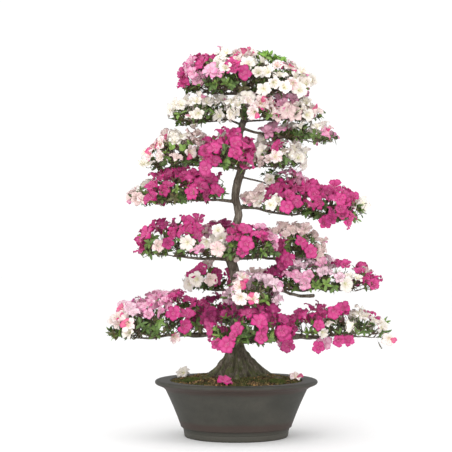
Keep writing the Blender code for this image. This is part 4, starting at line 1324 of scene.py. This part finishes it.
def lay_grains(tree, finishes, rng):
    """The loose grains as one piece on the soil, each lumpy and turned its own way."""
    shape = bmesh.new()
    bmesh.ops.create_icosphere(shape, subdivisions=1, radius=1.0)
    ball = np.array([v.co for v in shape.verts])
    faces = np.array([[v.index for v in f.verts] for f in shape.faces])
    shape.free()
    turns = rng.uniform(0, 2 * math.pi, GRAIN_COUNT)
    radii = np.sqrt(rng.uniform(0.30**2, 0.985**2, GRAIN_COUNT)) * SOIL_REACH
    x, y = POT_AXIS.x + radii * np.cos(turns), POT_AXIS.y + radii * np.sin(turns)
    z = np.array([soil_height(tree, a, b) for a, b in zip(x, y)])
    size = GRAIN_SIZE * rng.lognormal(0, 0.30, GRAIN_COUNT)
    frames = bases_for(rng.normal(0, 1, (GRAIN_COUNT, 3)), turns)
    bumpy = ball[None] * (1 + rng.normal(0, 0.12, (GRAIN_COUNT, len(ball), 1))) * [1.15, 0.95, 0.80]
    points = np.einsum("cij,cvj->cvi", frames, bumpy) * size[:, None, None]
    points = points + np.stack([x, y, z + size * 0.35], 1)[:, None]

    whole = (faces[None] + len(ball) * np.arange(GRAIN_COUNT)[:, None, None]).reshape(-1, 3)
    mesh = bpy.data.meshes.new("grains")
    mesh.from_pydata(points.reshape(-1, 3).tolist(), [], whole.tolist())
    place = np.zeros((GRAIN_COUNT, len(ball), 3), np.float32)
    place[..., 0] = rng.random(GRAIN_COUNT)[:, None]
    mesh.attributes.new("grain_place", "FLOAT_VECTOR", "POINT").data.foreach_set("vector", place.ravel())
    mesh.shade_smooth()
    mesh.materials.append(finishes["grain"])
    put(bpy.data.objects.new("loose_grains", mesh))


def make_moss(name, finishes, rng):
    """A cushion of short blades over the CAD cushion's top."""
    corners = triangles(name)
    up, _ = facing(corners)
    bases, normals = scatter(corners[up[:, 2] > 0.2], MOSS_SPACING, rng, 3)
    bases, normals = bases[:MOSS_BLADES], normals[:MOSS_BLADES]
    growth = Growth()
    lean = normals + rng.normal(0, 0.45, normals.shape)
    lean /= np.linalg.norm(lean, axis=1, keepdims=True)
    count = len(bases)
    tips = bases + lean * rng.uniform(0.0015, 0.0035, (count, 1))
    radii = np.full(count, MOSS_BLADE_RADIUS)
    blades = tubes(bases - [0, 0, 0.0015], (bases + tips) / 2, tips, radii, 3, 3)
    place = {"leaf_place": tube_place(3, 3, rng.random(count))}
    growth.add(blades, tube_quads(3, 3), place, 0, tube_plane(3, 3))
    growth.piece(name + "_blades", [finishes["moss"]], [name])


def make_fallen(finishes, rng):
    """The blossoms that dropped on the soil. Two lie together at the left."""
    looks = [finishes["petal"], finishes["stamen"], finishes["leaf"]]
    dropped = (("left", "white", 2), ("front", "magenta", 1), ("right", "striped", 1))
    for side, kind, count in dropped:
        node = "fallen_blossom_" + side
        low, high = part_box(node)
        base = np.array([[(low.x + high.x) / 2, (low.y + high.y) / 2, low.z + 0.003]])
        tilt = np.array([[rng.normal(0, 0.25), -0.45, 0.9]])
        bases = base + [[0, 0, 0.001], [0.006, -0.010, 0.010]][:count]
        tilts = tilt + [[0, 0, 0], [-0.5, -0.3, 0]][:count]
        growth = Growth()
        add_blossoms(growth, bases, tilts, [kind] * count, rng)
        growth.piece("dropped_blossom_" + side, looks, [node])


def make_pellet(finishes):
    """The cake of fertiliser, pitted and crumbling."""
    low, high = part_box("fertiliser_pellet")
    middle, half = (low + high) / 2, (high - low) / 2
    work = bmesh.new()
    bmesh.ops.create_icosphere(work, subdivisions=4, radius=1.0)
    for vert in work.verts:
        rough = 1 + 0.10 * noise.fractal(vert.co * 2.2, 0.8, 2.0, 5)
        vert.co = middle + Vector(a * b * rough for a, b in zip(vert.co, half))
    mesh = bpy.data.meshes.new("fertiliser_cake")
    work.to_mesh(mesh)
    work.free()
    mesh.shade_smooth()
    mesh.materials.append(finishes["fertiliser"])
    put(bpy.data.objects.new("fertiliser_cake", mesh), ["fertiliser_pellet"])


# ---------------------------------------------------------------- studio

def make_studio():
    """A pale floor, soft light from all round and a camera level with the middle of the tree."""
    work = bmesh.new()
    bmesh.ops.create_grid(work, x_segments=2, y_segments=2, size=14.0)
    mesh = bpy.data.meshes.new("floor")
    work.to_mesh(mesh)
    work.free()
    floor = bpy.data.objects.new("floor", mesh)
    bpy.context.scene.collection.objects.link(floor)
    floor.location.z = -0.0002
    f = Finish("pale_floor", 0.9)
    pale, paler = (0.95, 0.95, 0.95), (0.97, 0.97, 0.97)
    mesh.materials.append(f.finish(f.ramp(f.noise(f.place(), 3.0), (0.0, pale), (1.0, paler))))

    world = bpy.data.worlds.new("studio")
    bpy.context.scene.world = world
    world.use_nodes = True
    sky = world.node_tree.nodes["Background"]
    sky.inputs["Color"].default_value = (1.0, 1.0, 1.0, 1.0)
    sky.inputs["Strength"].default_value = 1.06

    target = Vector((POT_AXIS.x, POT_AXIS.y, 0.55))
    for name, place, size, power in LAMPS:
        lamp = bpy.data.lights.new(name, "AREA")
        lamp.size = size
        lamp.energy = power
        made = bpy.data.objects.new(name, lamp)
        made.location = place
        made.rotation_euler = (target - Vector(place)).to_track_quat("-Z", "Y").to_euler()
        bpy.context.scene.collection.objects.link(made)

    camera = bpy.data.objects.new("camera", bpy.data.cameras.new("camera"))
    camera.data.lens = CAMERA_LENS
    camera.data.sensor_width = CAMERA_SENSOR
    camera.location = (POT_AXIS.x - CAMERA_SIDE, POT_AXIS.y - CAMERA_AWAY, CAMERA_HEIGHT)
    camera.rotation_euler = (math.radians(90), 0, 0)
    bpy.context.scene.collection.objects.link(camera)
    bpy.context.scene.camera = camera
    bpy.context.scene.view_settings.view_transform = "Standard"


def finish_hidden_parts():
    """The gravel and the drain screens keep their CAD shapes."""
    gravel = plain_finish("gravel", srgb("a39a88"), srgb("5f574a"), 160.0, 0.9)
    screen = plain_finish("screen_mesh", srgb("33502f"), srgb("1d2f1b"), 300.0, 0.5)
    looks = {"gravel": gravel, **{f"drain_screen_{number}": screen for number in (1, 2, 3)}}
    for name, look in looks.items():
        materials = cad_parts[name].data.materials
        materials.clear()
        materials.append(look)


def main():
    finishes = {
        "petal": petal_finish(),
        "stamen": stamen_finish(),
        "leaf": leaf_finish("leaf", srgb("3a4a26"), srgb("587438"), srgb("86a650")),
        "twig": twig_finish(),
        "bark": bark_finish(),
        "stoneware": stoneware_finish(),
        "grain": grain_finish("soil_grain", srgb("332a1c"), srgb("5a4732"), srgb("7e6848")),
        "earth": earth_finish(),
        "moss": moss_finish(),
        "fertiliser": plain_finish("fertiliser", srgb("3a3128"), srgb("14110e"), 420.0, 0.9),
    }
    carried = []
    for number, name in enumerate(SPRAYS):
        carried.append(grow_pad(name, finishes, np.random.default_rng(100 + number)))
    wood = make_wood(finishes)
    grow_twigs(carried, wood, finishes, np.random.default_rng(7))
    make_pot(finishes)
    soil = soil_top_mesh()
    make_earth(soil, finishes)
    lay_grains(soil, finishes, np.random.default_rng(11))
    for side, seed in (("left", 24), ("right", 25), ("back", 24)):
        make_moss("moss_" + side, finishes, np.random.default_rng(seed))
    make_fallen(finishes, np.random.default_rng(31))
    make_pellet(finishes)
    finish_hidden_parts()
    make_studio()


main()
